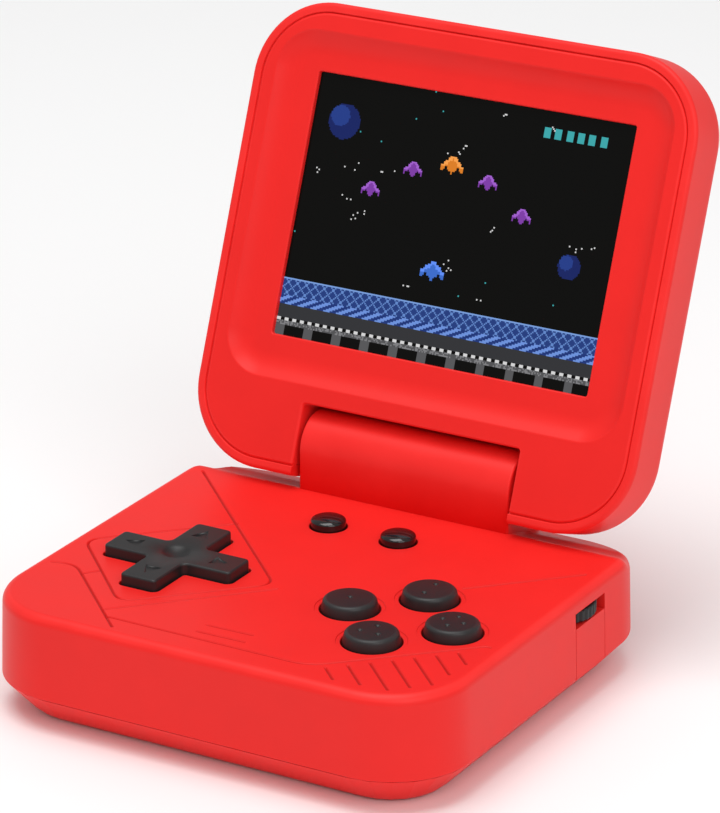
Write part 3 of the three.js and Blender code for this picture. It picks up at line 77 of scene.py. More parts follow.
@dataclass
class Loop:
    """A closed outline: points with outward normals, read at fractional indices."""

    points: Array
    normals: Array

    @classmethod
    def from_arcs(cls, arcs: Iterable[Sequence[float]], steps: int = 8) -> "Loop":
        """Joins arcs by straight sides, counter-clockwise round the material.

        Args:
            arcs: Rows of centre x, centre y, radius, first and last angle in degrees. An arc that
                runs backwards is a hollow corner, whose outward normal points to its centre.
            steps: Segments in each arc.

        Returns:
            The outline: each point is centre + radius * (cos a, sin a).
        """
        points, normals = [], []
        for x, y, radius, first, last in arcs:
            angles = np.radians(np.linspace(first, last, steps + 1))
            rays = np.stack([np.cos(angles), np.sin(angles)], axis=1)
            points.append([x, y] + radius * rays)
            normals.append(rays if last > first else -rays)
        return cls(np.concatenate(points), np.concatenate(normals))

    @classmethod
    def rounded(cls, half: Sequence[float], radius: float, centre: Sequence[float] = (0, 0),
                steps: int = 8) -> "Loop":
        """A rectangle with round corners.

        Args:
            half: Half its width and half its height.
            radius: Corner radius.
            centre: Its middle.
            steps: Segments in each corner.

        Returns:
            The outline.
        """
        x, y = half[0] - radius, half[1] - radius
        corners = [(x, -y, -90), (x, y, 0), (-x, y, 90), (-x, -y, 180)]
        return cls.from_arcs(
            [(centre[0] + a, centre[1] + b, radius, t, t + 90) for a, b, t in corners], steps)

    @classmethod
    def circle(cls, radius: float, centre: Sequence[float] = (0, 0), steps: int = 48) -> "Loop":
        """A circle.

        Args:
            radius: Its radius.
            centre: Its middle.
            steps: How many points it has.

        Returns:
            The outline.
        """
        angles = np.linspace(0, 2 * math.pi, steps, endpoint=False)
        rays = np.stack([np.cos(angles), np.sin(angles)], axis=1)
        return cls(np.asarray(centre) + radius * rays, rays)

    def at(self, u: Array, inset: Array | float = 0.0) -> Array:
        """Points of the outline, moved inwards.

        Args:
            u: Fractional indices; they wrap round.
            inset: How far each point moves against its normal.

        Returns:
            Points, one row each.
        """
        low = np.floor(u).astype(int)
        share = (u - low)[:, None]
        count = len(self.points)
        here, there = low % count, (low + 1) % count
        point = self.points[here] * (1 - share) + self.points[there] * share
        normal = self.normals[here] * (1 - share) + self.normals[there] * share
        return point - normal * np.broadcast_to(inset, u.shape)[:, None]

    def ring(self, inset: float = 0.0) -> Array:
        """Every point of the outline, moved inwards by an inset."""
        return self.points - self.normals * inset

    def closed(self) -> Array:
        """The outline's points, with the first again at the end."""
        return np.concatenate([self.points, self.points[:1]])

    def length_at(self, point: Sequence[float]) -> float:
        """How far along the outline its nearest place to a point is.

        Args:
            point: The point.

        Returns:
            The length from the outline's start.
        """
        a, b = self.points, np.roll(self.points, -1, axis=0)
        way = b - a
        size = np.linalg.norm(way, axis=1)
        t = np.clip(((point - a) * way).sum(axis=1) / np.maximum(size, TINY) ** 2, 0, 1)
        k = int(np.argmin(np.linalg.norm(a + t[:, None] * way - point, axis=1)))
        return float(size[:k].sum() + t[k] * size[k])

    def lengths(self) -> Array:
        """Lengths along the outline.

        Returns:
            The length at each index, and at the start again after one round.
        """
        size = np.linalg.norm(np.roll(self.points, -1, axis=0) - self.points, axis=1)
        return np.concatenate([[0], np.cumsum(size)])

    def split(self, spacing: float) -> "Loop":
        """The same outline with its long straight sides divided.

        Args:
            spacing: Longest side that is left.

        Returns:
            The divided outline.
        """
        after = np.roll(self.points, -1, axis=0)
        counts = np.maximum(1, np.ceil(np.linalg.norm(after - self.points, axis=1) / spacing))
        u = np.concatenate([i + np.arange(n) / n for i, n in enumerate(counts.astype(int))])
        low = np.floor(u).astype(int)
        share = (u - low)[:, None]
        normals = self.normals[low] * (1 - share) + np.roll(self.normals, -1, axis=0)[low] * share
        return Loop(self.at(u), normals)


def inside(points: Array, polygon: Array) -> Array:
    """Which points lie in a polygon: a ray to the right crosses its sides an odd number of times.

    Args:
        points: Points, one row each.
        polygon: Corners in order.

    Returns:
        True for each point inside.
    """
    a, b = polygon, np.roll(polygon, -1, axis=0)
    x, y = points[:, :1], points[:, 1:]
    straddles = (a[:, 1] > y) != (b[:, 1] > y)
    rise = np.where(b[:, 1] == a[:, 1], 1.0, b[:, 1] - a[:, 1])
    crossing = (b[:, 0] - a[:, 0]) * (y - a[:, 1]) / rise + a[:, 0]
    return (straddles & (x < crossing)).sum(axis=1) % 2 == 1


def rounded_box_distance(points: Array, half: Sequence[float], radius: float,
                         centre: Sequence[float]) -> Array:
    """Distance to a rectangle with round corners, negative inside it.

    Args:
        points: Points, one row each.
        half: Half its width and height.
        radius: Corner radius.
        centre: Its middle.

    Returns:
        Signed distances.
    """
    q = np.abs(points - np.asarray(centre)) - (np.asarray(half) - radius)
    return np.linalg.norm(np.maximum(q, 0), axis=1) + np.minimum(q.max(axis=1), 0) - radius


def eased(t: Array) -> Array:
    """A ramp from 0 to 1 whose two ends are rounded.

    Args:
        t: Place on the ramp, 0 to 1; what lies outside is clipped.

    Returns:
        Its height: quadratic, then straight, then quadratic.
    """
    t = np.clip(t, 0, 1)
    flip = t > 0.5
    s = np.where(flip, 1 - t, t)
    rise = np.where(s < SOFT, s * s / (2 * SOFT), s - SOFT / 2) / (1 - SOFT)
    return np.where(flip, 1 - rise, rise)


def rounding(x: float, y: float, radius: float, first: float, last: float, steps: int = 6) -> Array:
    """Points of an arc in a profile.

    Args:
        x: Inset of its centre.
        y: Height of its centre.
        radius: Its radius.
        first: Angle at its start, in degrees.
        last: Angle at its end, in degrees.
        steps: Segments in it.

    Returns:
        Rows of inset and height: centre + radius * (cos a, sin a).
    """
    a = np.radians(np.linspace(first, last, steps + 1))
    return np.stack([x + radius * np.cos(a), y + radius * np.sin(a)], axis=1)


def upper_edge(radius: float, top: float, count: int = 6) -> Array:
    """The rounded edge at the top of a wall.

    Args:
        radius: Its radius.
        top: Height of the face that it leads to.
        count: How many points it has.

    Returns:
        Rows of inset and height: radius * (1 - cos a) and top - radius * (1 - sin a).
    """
    a = np.linspace(0, QUARTER, count)
    return np.stack([radius * (1 - np.cos(a)), top - radius * (1 - np.sin(a))], axis=1)


def lower_edge(radius: float, low: float, count: int = 6) -> Array:
    """The rounded edge at the foot of a wall.

    Args:
        radius: Its radius.
        low: Height of the face that it comes from.
        count: How many points it has.

    Returns:
        Rows of inset and height: radius * (1 - sin a) and low + radius * (1 - cos a).
    """
    a = np.linspace(0, QUARTER, count)
    return np.stack([radius * (1 - np.sin(a)), low + radius * (1 - np.cos(a))], axis=1)


def profile_at(profile: Array, v: Array) -> tuple[Array, Array]:
    """Reads a profile between its rows.

    Args:
        profile: Rows of inset and height.
        v: Fractional row numbers.

    Returns:
        The insets and the heights.
    """
    rows = np.arange(len(profile))
    return np.interp(v, rows, profile[:, 0]), np.interp(v, rows, profile[:, 1])


# ------------------------------------------------------------------ surfaces

@dataclass
class Patch:
    """A piece of surface: points, normals, triangles, and for each point its wear where positive and painted
    shade where negative.
    """

    points: Array
    normals: Array
    faces: Array
    wear: Array

    @classmethod
    def joined(cls, patches: Sequence["Patch"]) -> "Patch":
        """Joins patches.

        Args:
            patches: The patches, in order.

        Returns:
            All of them as one.
        """
        starts = np.cumsum([0] + [len(p.points) for p in patches[:-1]])
        return cls(
            np.concatenate([p.points for p in patches]),
            np.concatenate([p.normals for p in patches]),
            np.concatenate([p.faces + s for p, s in zip(patches, starts)]),
            np.concatenate([p.wear for p in patches]),
        )


def slopes_normal(shape: Shape, u: Array, v: Array) -> Array:
    """Unit normals of a shape: the cross product of its slopes along u and along v.

    Args:
        shape: Surface of two parameters.
        u: First parameter of each point.
        v: Second parameter of each point.

    Returns:
        Normals, one row each.
    """
    along = shape(u + STEP, v) - shape(u - STEP, v)
    across = shape(u, v + STEP) - shape(u, v - STEP)
    normal = np.cross(along, across)
    return normal / np.maximum(np.linalg.norm(normal, axis=1), TINY)[:, None]


def patch_of(shape: Shape, u: Array, v: Array, faces: Array, flip: bool, wear: Array | float) -> Patch:
    """A patch from parameters and triangles.

    Args:
        shape: Surface of two parameters.
        u: First parameter of each point.
        v: Second parameter of each point.
        faces: Triangles.
        flip: Turns the surface over.
        wear: Wear of each point, or one value.

    Returns:
        The patch.
    """
    normals = slopes_normal(shape, u, v)
    if flip:
        faces, normals = faces[:, ::-1], -normals
    return Patch(shape(u, v), normals, faces, np.broadcast_to(wear, u.shape).astype(float))


def grid(shape: Shape, us: Array, vs: Array, flip: bool = False, wear: Array | float = 0.0) -> Patch:
    """A shape on a regular grid of its two parameters.

    Args:
        shape: Surface of two parameters.
        us: Values of the first.
        vs: Values of the second.
        flip: Turns the surface over.
        wear: Wear along the second parameter, or one value.

    Returns:
        The patch, two triangles in each cell.
    """
    u, v = (a.ravel() for a in np.meshgrid(us, vs, indexing="ij"))
    i, j = (a.ravel() for a in np.meshgrid(np.arange(len(us) - 1), np.arange(len(vs) - 1), indexing="ij"))
    a = i * len(vs) + j
    b, c, d = a + len(vs), a + len(vs) + 1, a + 1
    faces = np.concatenate([np.stack([a, b, c], axis=1), np.stack([a, c, d], axis=1)])
    worn = np.broadcast_to(wear, (len(us), len(vs))).ravel()
    return patch_of(shape, u, v, faces, flip, worn)


def region(shape: Shape, outer: Array, holes: Sequence[Array] = (), lines: Sequence[Array] = (),
           flip: bool = False) -> Patch:
    """A shape over a flat area, in triangles that follow every given line.

    Args:
        shape: Surface of two parameters.
        outer: Corners of the area's border.
        holes: Corners of each hole.
        lines: Open or closed rows of points that edges must follow.
        flip: Turns the surface over.

    Returns:
        The patch.
    """
    closed = [outer, *holes]
    rows = [*closed, *lines]
    starts = np.cumsum([0] + [len(r) for r in rows])
    edges = []
    for k, row in enumerate(rows):
        i = np.arange(len(row) - (k >= len(closed))) + starts[k]
        after = i + 1 if k >= len(closed) else starts[k] + (i + 1 - starts[k]) % len(row)
        edges += np.stack([i, after], axis=1).tolist()
    flat = [Vector(p) for p in np.concatenate(rows).tolist()]
    made, _, triangles, *_ = geometry.delaunay_2d_cdt(flat, edges, [], 0, MERGE, False)
    points, faces = np.array(made, dtype=float).reshape(-1, 2), np.array(triangles)
    a, b, c = (points[faces[:, k]] for k in range(3))
    area = (b[:, 0] - a[:, 0]) * (c[:, 1] - a[:, 1]) - (b[:, 1] - a[:, 1]) * (c[:, 0] - a[:, 0])
    middle = (a + b + c) / 3
    keep = inside(middle, outer) & (np.abs(area) > SLIVER)
    for hole in holes:
        keep &= ~inside(middle, hole)
    faces = np.where((area > 0)[:, None], faces, faces[:, ::-1])[keep]
    used, faces = np.unique(faces, return_inverse=True)
    return patch_of(shape, points[used, 0], points[used, 1], faces.reshape(-1, 3), flip, 0.0)


def sweep(loop: Loop, profile: Array, place: Callable[[Array, Array], Array], flip: bool = False,
          span: Optional[Array] = None, wear: float = 0.0) -> Patch:
    """A profile carried round an outline.

    Args:
        loop: The outline.
        profile: Rows of inset and height. The first and last row only steer the end normals.
        place: Puts flat points and heights into space.
        flip: Turns the surface over.
        span: Indices of the outline to use, or all of it and back to its start.
        wear: Wear of the profile's short steps.

    Returns:
        The patch.
    """
    def shape(u: Array, v: Array) -> Array:
        """The profile's inset and height at v, on the outline at u."""
        inset, height = profile_at(profile, v)
        return place(loop.at(u, inset), height)

    us = np.arange(len(loop.points) + 1, dtype=float) if span is None else span
    lengths = np.linalg.norm(np.diff(profile, axis=0), axis=1)
    worn = np.where(np.minimum(lengths[:-1], lengths[1:]) < SHORT, wear, 0.0)
    return grid(shape, us, np.arange(1.0, len(profile) - 1), flip, worn)


def rim(shape: Shape, loop: Loop, depth: float, edge: float, wear: float = 0.6) -> Patch:
    """The rounded edge and the wall of a hole in a surface.

    Args:
        shape: The surface that has the hole.
        loop: The hole's outline in the surface's parameters; the surface stops one edge outside it.
        depth: How deep the wall goes along the surface's normal.
        edge: Radius of the rounding.
        wear: Wear of the rounding.

    Returns:
        The patch, facing the hole.
    """
    arc = rounding(-edge, -edge, edge, 90, 0, 4)
    profile = np.concatenate([[[-edge - STEER, 0]], arc, [[0, -depth], [0, -depth - STEER]]])

    def wall(u: Array, v: Array) -> Array:
        """The surface beside the outline, moved along its own normal."""
        inset, down = profile_at(profile, v)
        flat = loop.at(u, inset)
        return shape(flat[:, 0], flat[:, 1]) + slopes_normal(shape, flat[:, 0], flat[:, 1]) * down[:, None]

    us = np.arange(len(loop.points) + 1, dtype=float)
    rows = np.arange(1.0, len(profile) - 1)
    return grid(wall, us, rows, False, np.where(rows <= len(arc), wear, 0.0))


def upright(points: Array, heights: Array) -> Array:
    """Flat points raised to their heights."""
    return np.column_stack([points, heights])


# ------------------------------------------------------------------ finishes

class Tone(Enum):
    """Base colours, linear RGB."""

    RED = (0.87, 0.021, 0.018)
    KEY_BLACK = (0.012, 0.012, 0.0125)
    GLOSS_BLACK = (0.006, 0.006, 0.0065)
    STEEL = (0.46, 0.47, 0.48)
    BRASS = (0.62, 0.42, 0.13)
    BOARD = (0.012, 0.1, 0.035)
    RUBBER = (0.26, 0.27, 0.28)
    WRAP = (0.045, 0.08, 0.15)
    FILM = (0.46, 0.2, 0.035)
    CHIP = (0.014, 0.014, 0.016)
    LENS = (0.0015, 0.0015, 0.0016)


@dataclass(frozen=True)
class Finish:
    """A moulded or bare surface: grain, cloudy roughness, paler worn edges and painted shade that darkens
    the engraving.
    """

    name: str
    tone: Tone
    roughness: float = 0.4
    spread: float = 0.06
    grain: float = 0.12
    grain_size: float = 0.25
    metallic: float = 0.0
    specular: float = 0.5
    coat: float = 0.0
    worn: float = 1.25
    # Strength of the painted shade that darkens the engraved grooves.
    cavity: float = 0.8
    clouds_per_mm: float = 0.11
    cloud_tones: tuple[float, float] = (0.98, 1.015)
    rubbed_lift: float = 0.012
    # Share of the base colour that the painted shade in the grooves darkens to.
    cavity_tone: float = 0.42
    coat_roughness: float = 0.12
    grain_height: float = 0.04

    def make(self) -> bpy.types.Material:
        """Builds the material's nodes.

        Returns:
            The material.
        """
        material = bpy.data.materials.new(self.name)
        material.use_nodes = True
        nodes, links = material.node_tree.nodes, material.node_tree.links
        shader = nodes["Principled BSDF"]
        shader.inputs["Metallic"].default_value = self.metallic
        shader.inputs["Specular IOR Level"].default_value = self.specular
        shader.inputs["Coat Weight"].default_value = self.coat
        shader.inputs["Coat Roughness"].default_value = self.coat_roughness
        where = nodes.new("ShaderNodeTexCoord").outputs["Object"]
        clouds = self._noise(nodes, links, where, self.clouds_per_mm, 3.0)
        fine = self._noise(nodes, links, where, 1 / self.grain_size, 2.0)
        # This attribute holds wear where it is positive and painted shade in the engraving where it is
        # negative.
        worn = nodes.new("ShaderNodeAttribute")
        worn.attribute_name = "wear"

        colours = nodes.new("ShaderNodeValToRGB")
        for stop, place, tone in zip(colours.color_ramp.elements, (0.3, 0.7), self.cloud_tones):
            stop.position, stop.color = place, self._shade(tone)
        links.new(clouds, colours.inputs["Fac"])
        edge = nodes.new("ShaderNodeMix")
        edge.data_type = "RGBA"
        edge.inputs["B"].default_value = self._shade(self.worn, self.rubbed_lift)
        rub = self._product(nodes)
        links.new(worn.outputs["Fac"], rub.inputs[0])
        links.new(clouds, rub.inputs[1])
        links.new(rub.outputs[0], edge.inputs["Factor"])
        links.new(colours.outputs["Color"], edge.inputs["A"])
        # Painted shade: where the attribute is negative, in the engraved grooves, the colour is mixed
        # towards a darker copy of the base colour.
        hollow = self._product(nodes)
        hollow.inputs[1].default_value = -self.cavity
        links.new(worn.outputs["Fac"], hollow.inputs[0])
        shade = nodes.new("ShaderNodeMix")
        shade.data_type = "RGBA"
        shade.inputs["B"].default_value = self._shade(self.cavity_tone)
        links.new(hollow.outputs[0], shade.inputs["Factor"])
        links.new(edge.outputs["Result"], shade.inputs["A"])
        links.new(shade.outputs["Result"], shader.inputs["Base Color"])

        rough = nodes.new("ShaderNodeMapRange")
        rough.inputs["To Min"].default_value = self.roughness - self.spread
        rough.inputs["To Max"].default_value = self.roughness + self.spread
        links.new(clouds, rough.inputs["Value"])
        links.new(rough.outputs["Result"], shader.inputs["Roughness"])
        bump = nodes.new("ShaderNodeBump")
        bump.inputs["Strength"].default_value = self.grain
        bump.inputs["Distance"].default_value = self.grain_height * MM
        links.new(fine, bump.inputs["Height"])
        links.new(bump.outputs["Normal"], shader.inputs["Normal"])
        return material

    def _shade(self, scale: float, lift: float = 0.0) -> tuple[float, ...]:
        """The base colour times a scale, plus a lift, with no channel over 1."""
        return tuple(min(1.0, c * scale + lift) for c in self.tone.value) + (1.0,)

    @staticmethod
    def _product(nodes: bpy.types.Nodes) -> bpy.types.Node:
        """A node that multiplies two values and keeps the product between 0 and 1."""
        node = nodes.new("ShaderNodeMath")
        node.operation, node.use_clamp = "MULTIPLY", True
        return node

    @staticmethod
    def _noise(nodes: bpy.types.Nodes, links: bpy.types.NodeLinks, where: bpy.types.NodeSocket,
               per_mm: float, detail: float) -> bpy.types.NodeSocket:
        """A noise over the piece.

        Args:
            nodes: The material's nodes.
            links: Their links.
            where: Place on the piece.
            per_mm: Lumps in a millimetre.
            detail: Octaves of smaller lumps.

        Returns:
            The noise, about 0 to 1.
        """
        noise = nodes.new("ShaderNodeTexNoise")
        noise.inputs["Scale"].default_value = per_mm / MM
        noise.inputs["Detail"].default_value = detail
        links.new(where, noise.inputs["Vector"])
        return noise.outputs["Fac"]


@dataclass(frozen=True)
class LitWindow:
    """A smoked window over a lit display: the picture's colours glow under a glossy face."""

    name: str
    glow: float = 0.95
    roughness: float = 0.08
    specular: float = 0.08
    smudges_per_mm: float = 0.12
    smudged: float = 2.5

    def make(self) -> bpy.types.Material:
        """Builds the material's nodes.

        Returns:
            The material.
        """
        material = bpy.data.materials.new(self.name)
        material.use_nodes = True
        nodes, links = material.node_tree.nodes, material.node_tree.links
        shader = nodes["Principled BSDF"]
        shader.inputs["Base Color"].default_value = (*Tone.LENS.value, 1)
        shader.inputs["Specular IOR Level"].default_value = self.specular
        shader.inputs["Emission Strength"].default_value = self.glow
        picture = nodes.new("ShaderNodeAttribute")
        picture.attribute_name = "picture"
        links.new(picture.outputs["Color"], shader.inputs["Emission Color"])
        smudge = nodes.new("ShaderNodeTexNoise")
        smudge.inputs["Scale"].default_value = self.smudges_per_mm / MM
        links.new(nodes.new("ShaderNodeTexCoord").outputs["Object"], smudge.inputs["Vector"])
        rough = nodes.new("ShaderNodeMapRange")
        rough.inputs["To Min"].default_value = self.roughness
        rough.inputs["To Max"].default_value = self.roughness * self.smudged
        links.new(smudge.outputs["Fac"], rough.inputs["Value"])
        links.new(rough.outputs["Result"], shader.inputs["Roughness"])
        return material


class Slot(Enum):
    """Material slots of the record, each with its finish."""

    case_plastic = Finish("satin red plastic", Tone.RED, 0.40, 0.05, 0.16, 0.22, specular=0.2)
    key_plastic = Finish("satin black plastic", Tone.KEY_BLACK, 0.42, 0.06, 0.25, 0.18, specular=0.4,
                         worn=1.4)
    gloss_key = Finish("gloss black plastic", Tone.GLOSS_BLACK, 0.12, 0.03, 0.03, 0.5, coat=0.15)
    screen_lens = LitWindow("smoked window")
    lcd_panel = Finish("display glass", Tone.LENS, 0.15, 0.03, 0.03, 0.5)
    steel = Finish("brushed steel", Tone.STEEL, 0.32, 0.08, 0.25, 0.12, metallic=1.0)
    contact_brass = Finish("contact brass", Tone.BRASS, 0.3, 0.06, 0.15, 0.12, metallic=1.0)
    circuit_board = Finish("green solder mask", Tone.BOARD, 0.38, 0.08, 0.3, 0.5, coat=0.3)
    component_black = Finish("moulded component", Tone.CHIP, 0.55, 0.08, 0.3, 0.14)
    ribbon_film = Finish("amber film", Tone.FILM, 0.35, 0.06, 0.1, 0.4, coat=0.2)
    rubber = Finish("grey rubber", Tone.RUBBER, 0.75, 0.08, 0.3, 0.2)
    cell_wrap = Finish("cell wrap", Tone.WRAP, 0.38, 0.08, 0.2, 0.6)


class Paintbox:
    """Makes each finish once."""

    def __init__(self) -> None:
        """Starts with no material made."""
        self.made: dict[Slot, bpy.types.Material] = {}

    def get(self, slot: Slot) -> bpy.types.Material:
        """The material of a slot."""
        if slot not in self.made:
            self.made[slot] = slot.value.make()
        return self.made[slot]

    def dress_frame(self) -> None:
        """Gives every CAD node that stays its slot's material."""
        for row in frame["record"]["subparts"]:
            obj = frame["nodes"][row["node"]]
            obj.data.materials.clear()
            obj.data.materials.append(self.get(Slot[row["material_slot"]]))


@dataclass
class Assembly:
    """A group of pieces that are built and dressed together."""

    pieces: list[tuple[bpy.types.Object, Slot]] = field(default_factory=list, init=False)

    def add(self, name: str, patches: Sequence[Patch], slot: Slot, body: str, *nodes: str,
            paint: Optional[Array] = None) -> None:
        """Makes one piece from its patches.

        Args:
            name: The piece's name.
            patches: Its surfaces, in millimetres.
            slot: Its finish.
            body: The CAD body that it rides on.
            nodes: CAD nodes that it stands for.
            paint: A colour for each triangle of the first patch.
        """
        whole = Patch.joined(patches)
        mesh = bpy.data.meshes.new(name)
        mesh.from_pydata((whole.points * MM).tolist(), [], whole.faces.tolist())
        corners = whole.faces.ravel()
        mesh.attributes.new("way", "FLOAT_VECTOR", "CORNER").data.foreach_set(
            "vector", whole.normals[corners].ravel())
        # Per-corner attribute for the finish: wear where positive, painted shade where negative.
        mesh.attributes.new("wear", "FLOAT", "CORNER").data.foreach_set("value", whole.wear[corners])
        if paint is not None:
            colours = np.zeros((len(whole.faces), 3, 4))
            colours[:, :, 3] = 1
            colours[:len(paint), :, :3] = paint[:, None]
            mesh.attributes.new("picture", "FLOAT_COLOR", "CORNER").data.foreach_set(
                "color", colours.ravel())
        work = bmesh.new()
        work.from_mesh(mesh)
        bmesh.ops.remove_doubles(work, verts=work.verts, dist=WELD * MM)
        work.to_mesh(mesh)
        work.free()
        way = np.empty(len(mesh.loops) * 3)
        mesh.attributes["way"].data.foreach_get("vector", way)
        mesh.attributes.remove(mesh.attributes["way"])
        mesh.shade_smooth()
        mesh.normals_split_custom_set(way.reshape(-1, 3).tolist())
        obj = bpy.data.objects.new(name, mesh)
        bpy.context.scene.collection.objects.link(obj)
        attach(obj, body)
        if nodes:
            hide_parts(*nodes)
        self.pieces.append((obj, slot))
        log.info("%s: %d triangles on %s", name, len(mesh.polygons), body)

    def dress(self, paints: Paintbox) -> None:
        """Gives each piece its finish."""
        for obj, slot in self.pieces:
            obj.data.materials.append(paints.get(slot))


def ribbon(first: Array, second: Array) -> Patch:
    """Flat quads between two rows of points; each faces along (second - first) x (next - first).

    Args:
        first: One row of points.
        second: The other row, as long.

    Returns:
        The patch, with unshared points so that every quad is flat.
    """
    corners = np.stack([first[:-1], second[:-1], second[1:], first[1:]], axis=1)
    normal = np.cross(corners[:, 1] - corners[:, 0], corners[:, 2] - corners[:, 0])
    normal /= np.maximum(np.linalg.norm(normal, axis=1), TINY)[:, None]
    starts = np.arange(len(corners))[:, None] * 4
    faces = np.concatenate([starts + [0, 1, 2], starts + [0, 2, 3]])
    return Patch(corners.reshape(-1, 3), np.repeat(normal, 4, axis=0), faces, np.zeros(len(corners) * 4))


def track(path: Array, away: float) -> Array:
    """The closed line that stays a distance away from an open path, round its two ends as well.

    Args:
        path: Points of the path.
        away: The distance.

    Returns:
        Points; the first comes again at the end.
    """
    way = np.gradient(path, axis=0)
    way /= np.linalg.norm(way, axis=1)[:, None]
    side = np.stack([way[:, 1], -way[:, 0]], axis=1) * away
    turn = np.linspace(0, math.pi, 6)[1:-1, None]
    tip = path[-1] + side[-1] * np.cos(turn) + way[-1] * away * np.sin(turn)
    tail = path[0] - side[0] * np.cos(turn) - way[0] * away * np.sin(turn)
    ring = np.concatenate([path + side, tip, (path - side)[::-1], tail])
    return np.concatenate([ring, ring[:1]])


def bent(corners: Sequence[Sequence[float]], radius: float = 3.0, spacing: float = 1.5) -> Array:
    """A path through corners, each rounded by a quadratic curve, in points close together.

    Args:
        corners: Its ends and the corners between.
        radius: How far from a corner its curve starts, at most.
        spacing: Longest step of the path.

    Returns:
        Points of the path.
    """
    c = np.asarray(corners, dtype=float)
    out = [c[:1]]
    for before, here, after in zip(c, c[1:], c[2:]):
        a, b = before - here, after - here
        reach = min(radius, np.linalg.norm(a) / 2, np.linalg.norm(b) / 2)
        a, b = here + a / np.linalg.norm(a) * reach, here + b / np.linalg.norm(b) * reach
        t = np.linspace(0, 1, 7)[:, None]
        out.append((1 - t) ** 2 * a + 2 * t * (1 - t) * here + t * t * b)
    out.append(c[-1:])
    p = np.concatenate(out)
    length = np.concatenate([[0], np.cumsum(np.linalg.norm(np.diff(p, axis=0), axis=1))])
    at = np.unique(np.concatenate([length, np.arange(0, length[-1], spacing)]))
    at = at[np.concatenate([[True], np.diff(at) > 0.05])]
    return np.stack([np.interp(at, length, p[:, k]) for k in range(2)], axis=1)


def distance_to_path(points: Array, path: Array) -> Array:
    """Distance to a path.

    Args:
        points: Points, one row each.
        path: Points of the path.

    Returns:
        Each point's distance to the nearest place on the path.
    """
    a, b = path[:-1], path[1:]
    way = b - a
    t = ((points[:, None] - a) * way).sum(axis=2) / np.maximum((way * way).sum(axis=1), TINY)
    near = a + np.clip(t, 0, 1)[:, :, None] * way
    return np.linalg.norm(points[:, None] - near, axis=2).min(axis=1)


def cross_outline(reach: float, half: float, end: float, armpit: float) -> Loop:
    """The outline of a cross: rounded arm ends and hollow corners between the arms.

    Args:
        reach: From the middle to an arm's end.
        half: Half an arm's width.
        end: Radius of an arm's end corners.
        armpit: Radius of the hollow corners.

    Returns:
        The outline round the origin.
    """
    arcs = []
    for turn in (0, 90, 180, 270):
        c, s = round(math.cos(math.radians(turn))), round(math.sin(math.radians(turn)))
        for x, y, r, a, b in (
            (reach - end, -half + end, end, -90, 0),
            (reach - end, half - end, end, 0, 90),
            (half + armpit, half + armpit, armpit, -90, -180),
        ):
            arcs.append((c * x - s * y, s * x + c * y, r, a + turn, b + turn))
    return Loop.from_arcs(arcs, 6)


def moved(loop: Loop, centre: Sequence[float]) -> Loop:
    """The outline round another middle."""
    return Loop(loop.points + np.asarray(centre), loop.normals)


# -------------------------------------------------------------------- pieces

@dataclass(frozen=True)
class Layout:
    """Sizes and places that more than one assembly uses."""

    half_width: float = 42.5
    corner: float = 14.0
    deck: float = 20.5
    hinge: tuple[float, float] = (33.63, 27.03)
    pad: tuple[float, float] = (-21.6, -9.8)
    pad_cross: tuple[float, float, float, float] = (12.2, 3.4, 0.8, 1.1)
    buttons: tuple[tuple[str, float, float], ...] = (
        ("left", 12.5, -11.5), ("back", 22, -2), ("front", 22, -21), ("right", 31.5, -11.5))
    domes: tuple[tuple[str, float, float], ...] = (("select", -7.6, 16), ("start", 5.9, 16))


LAYOUT = Layout()


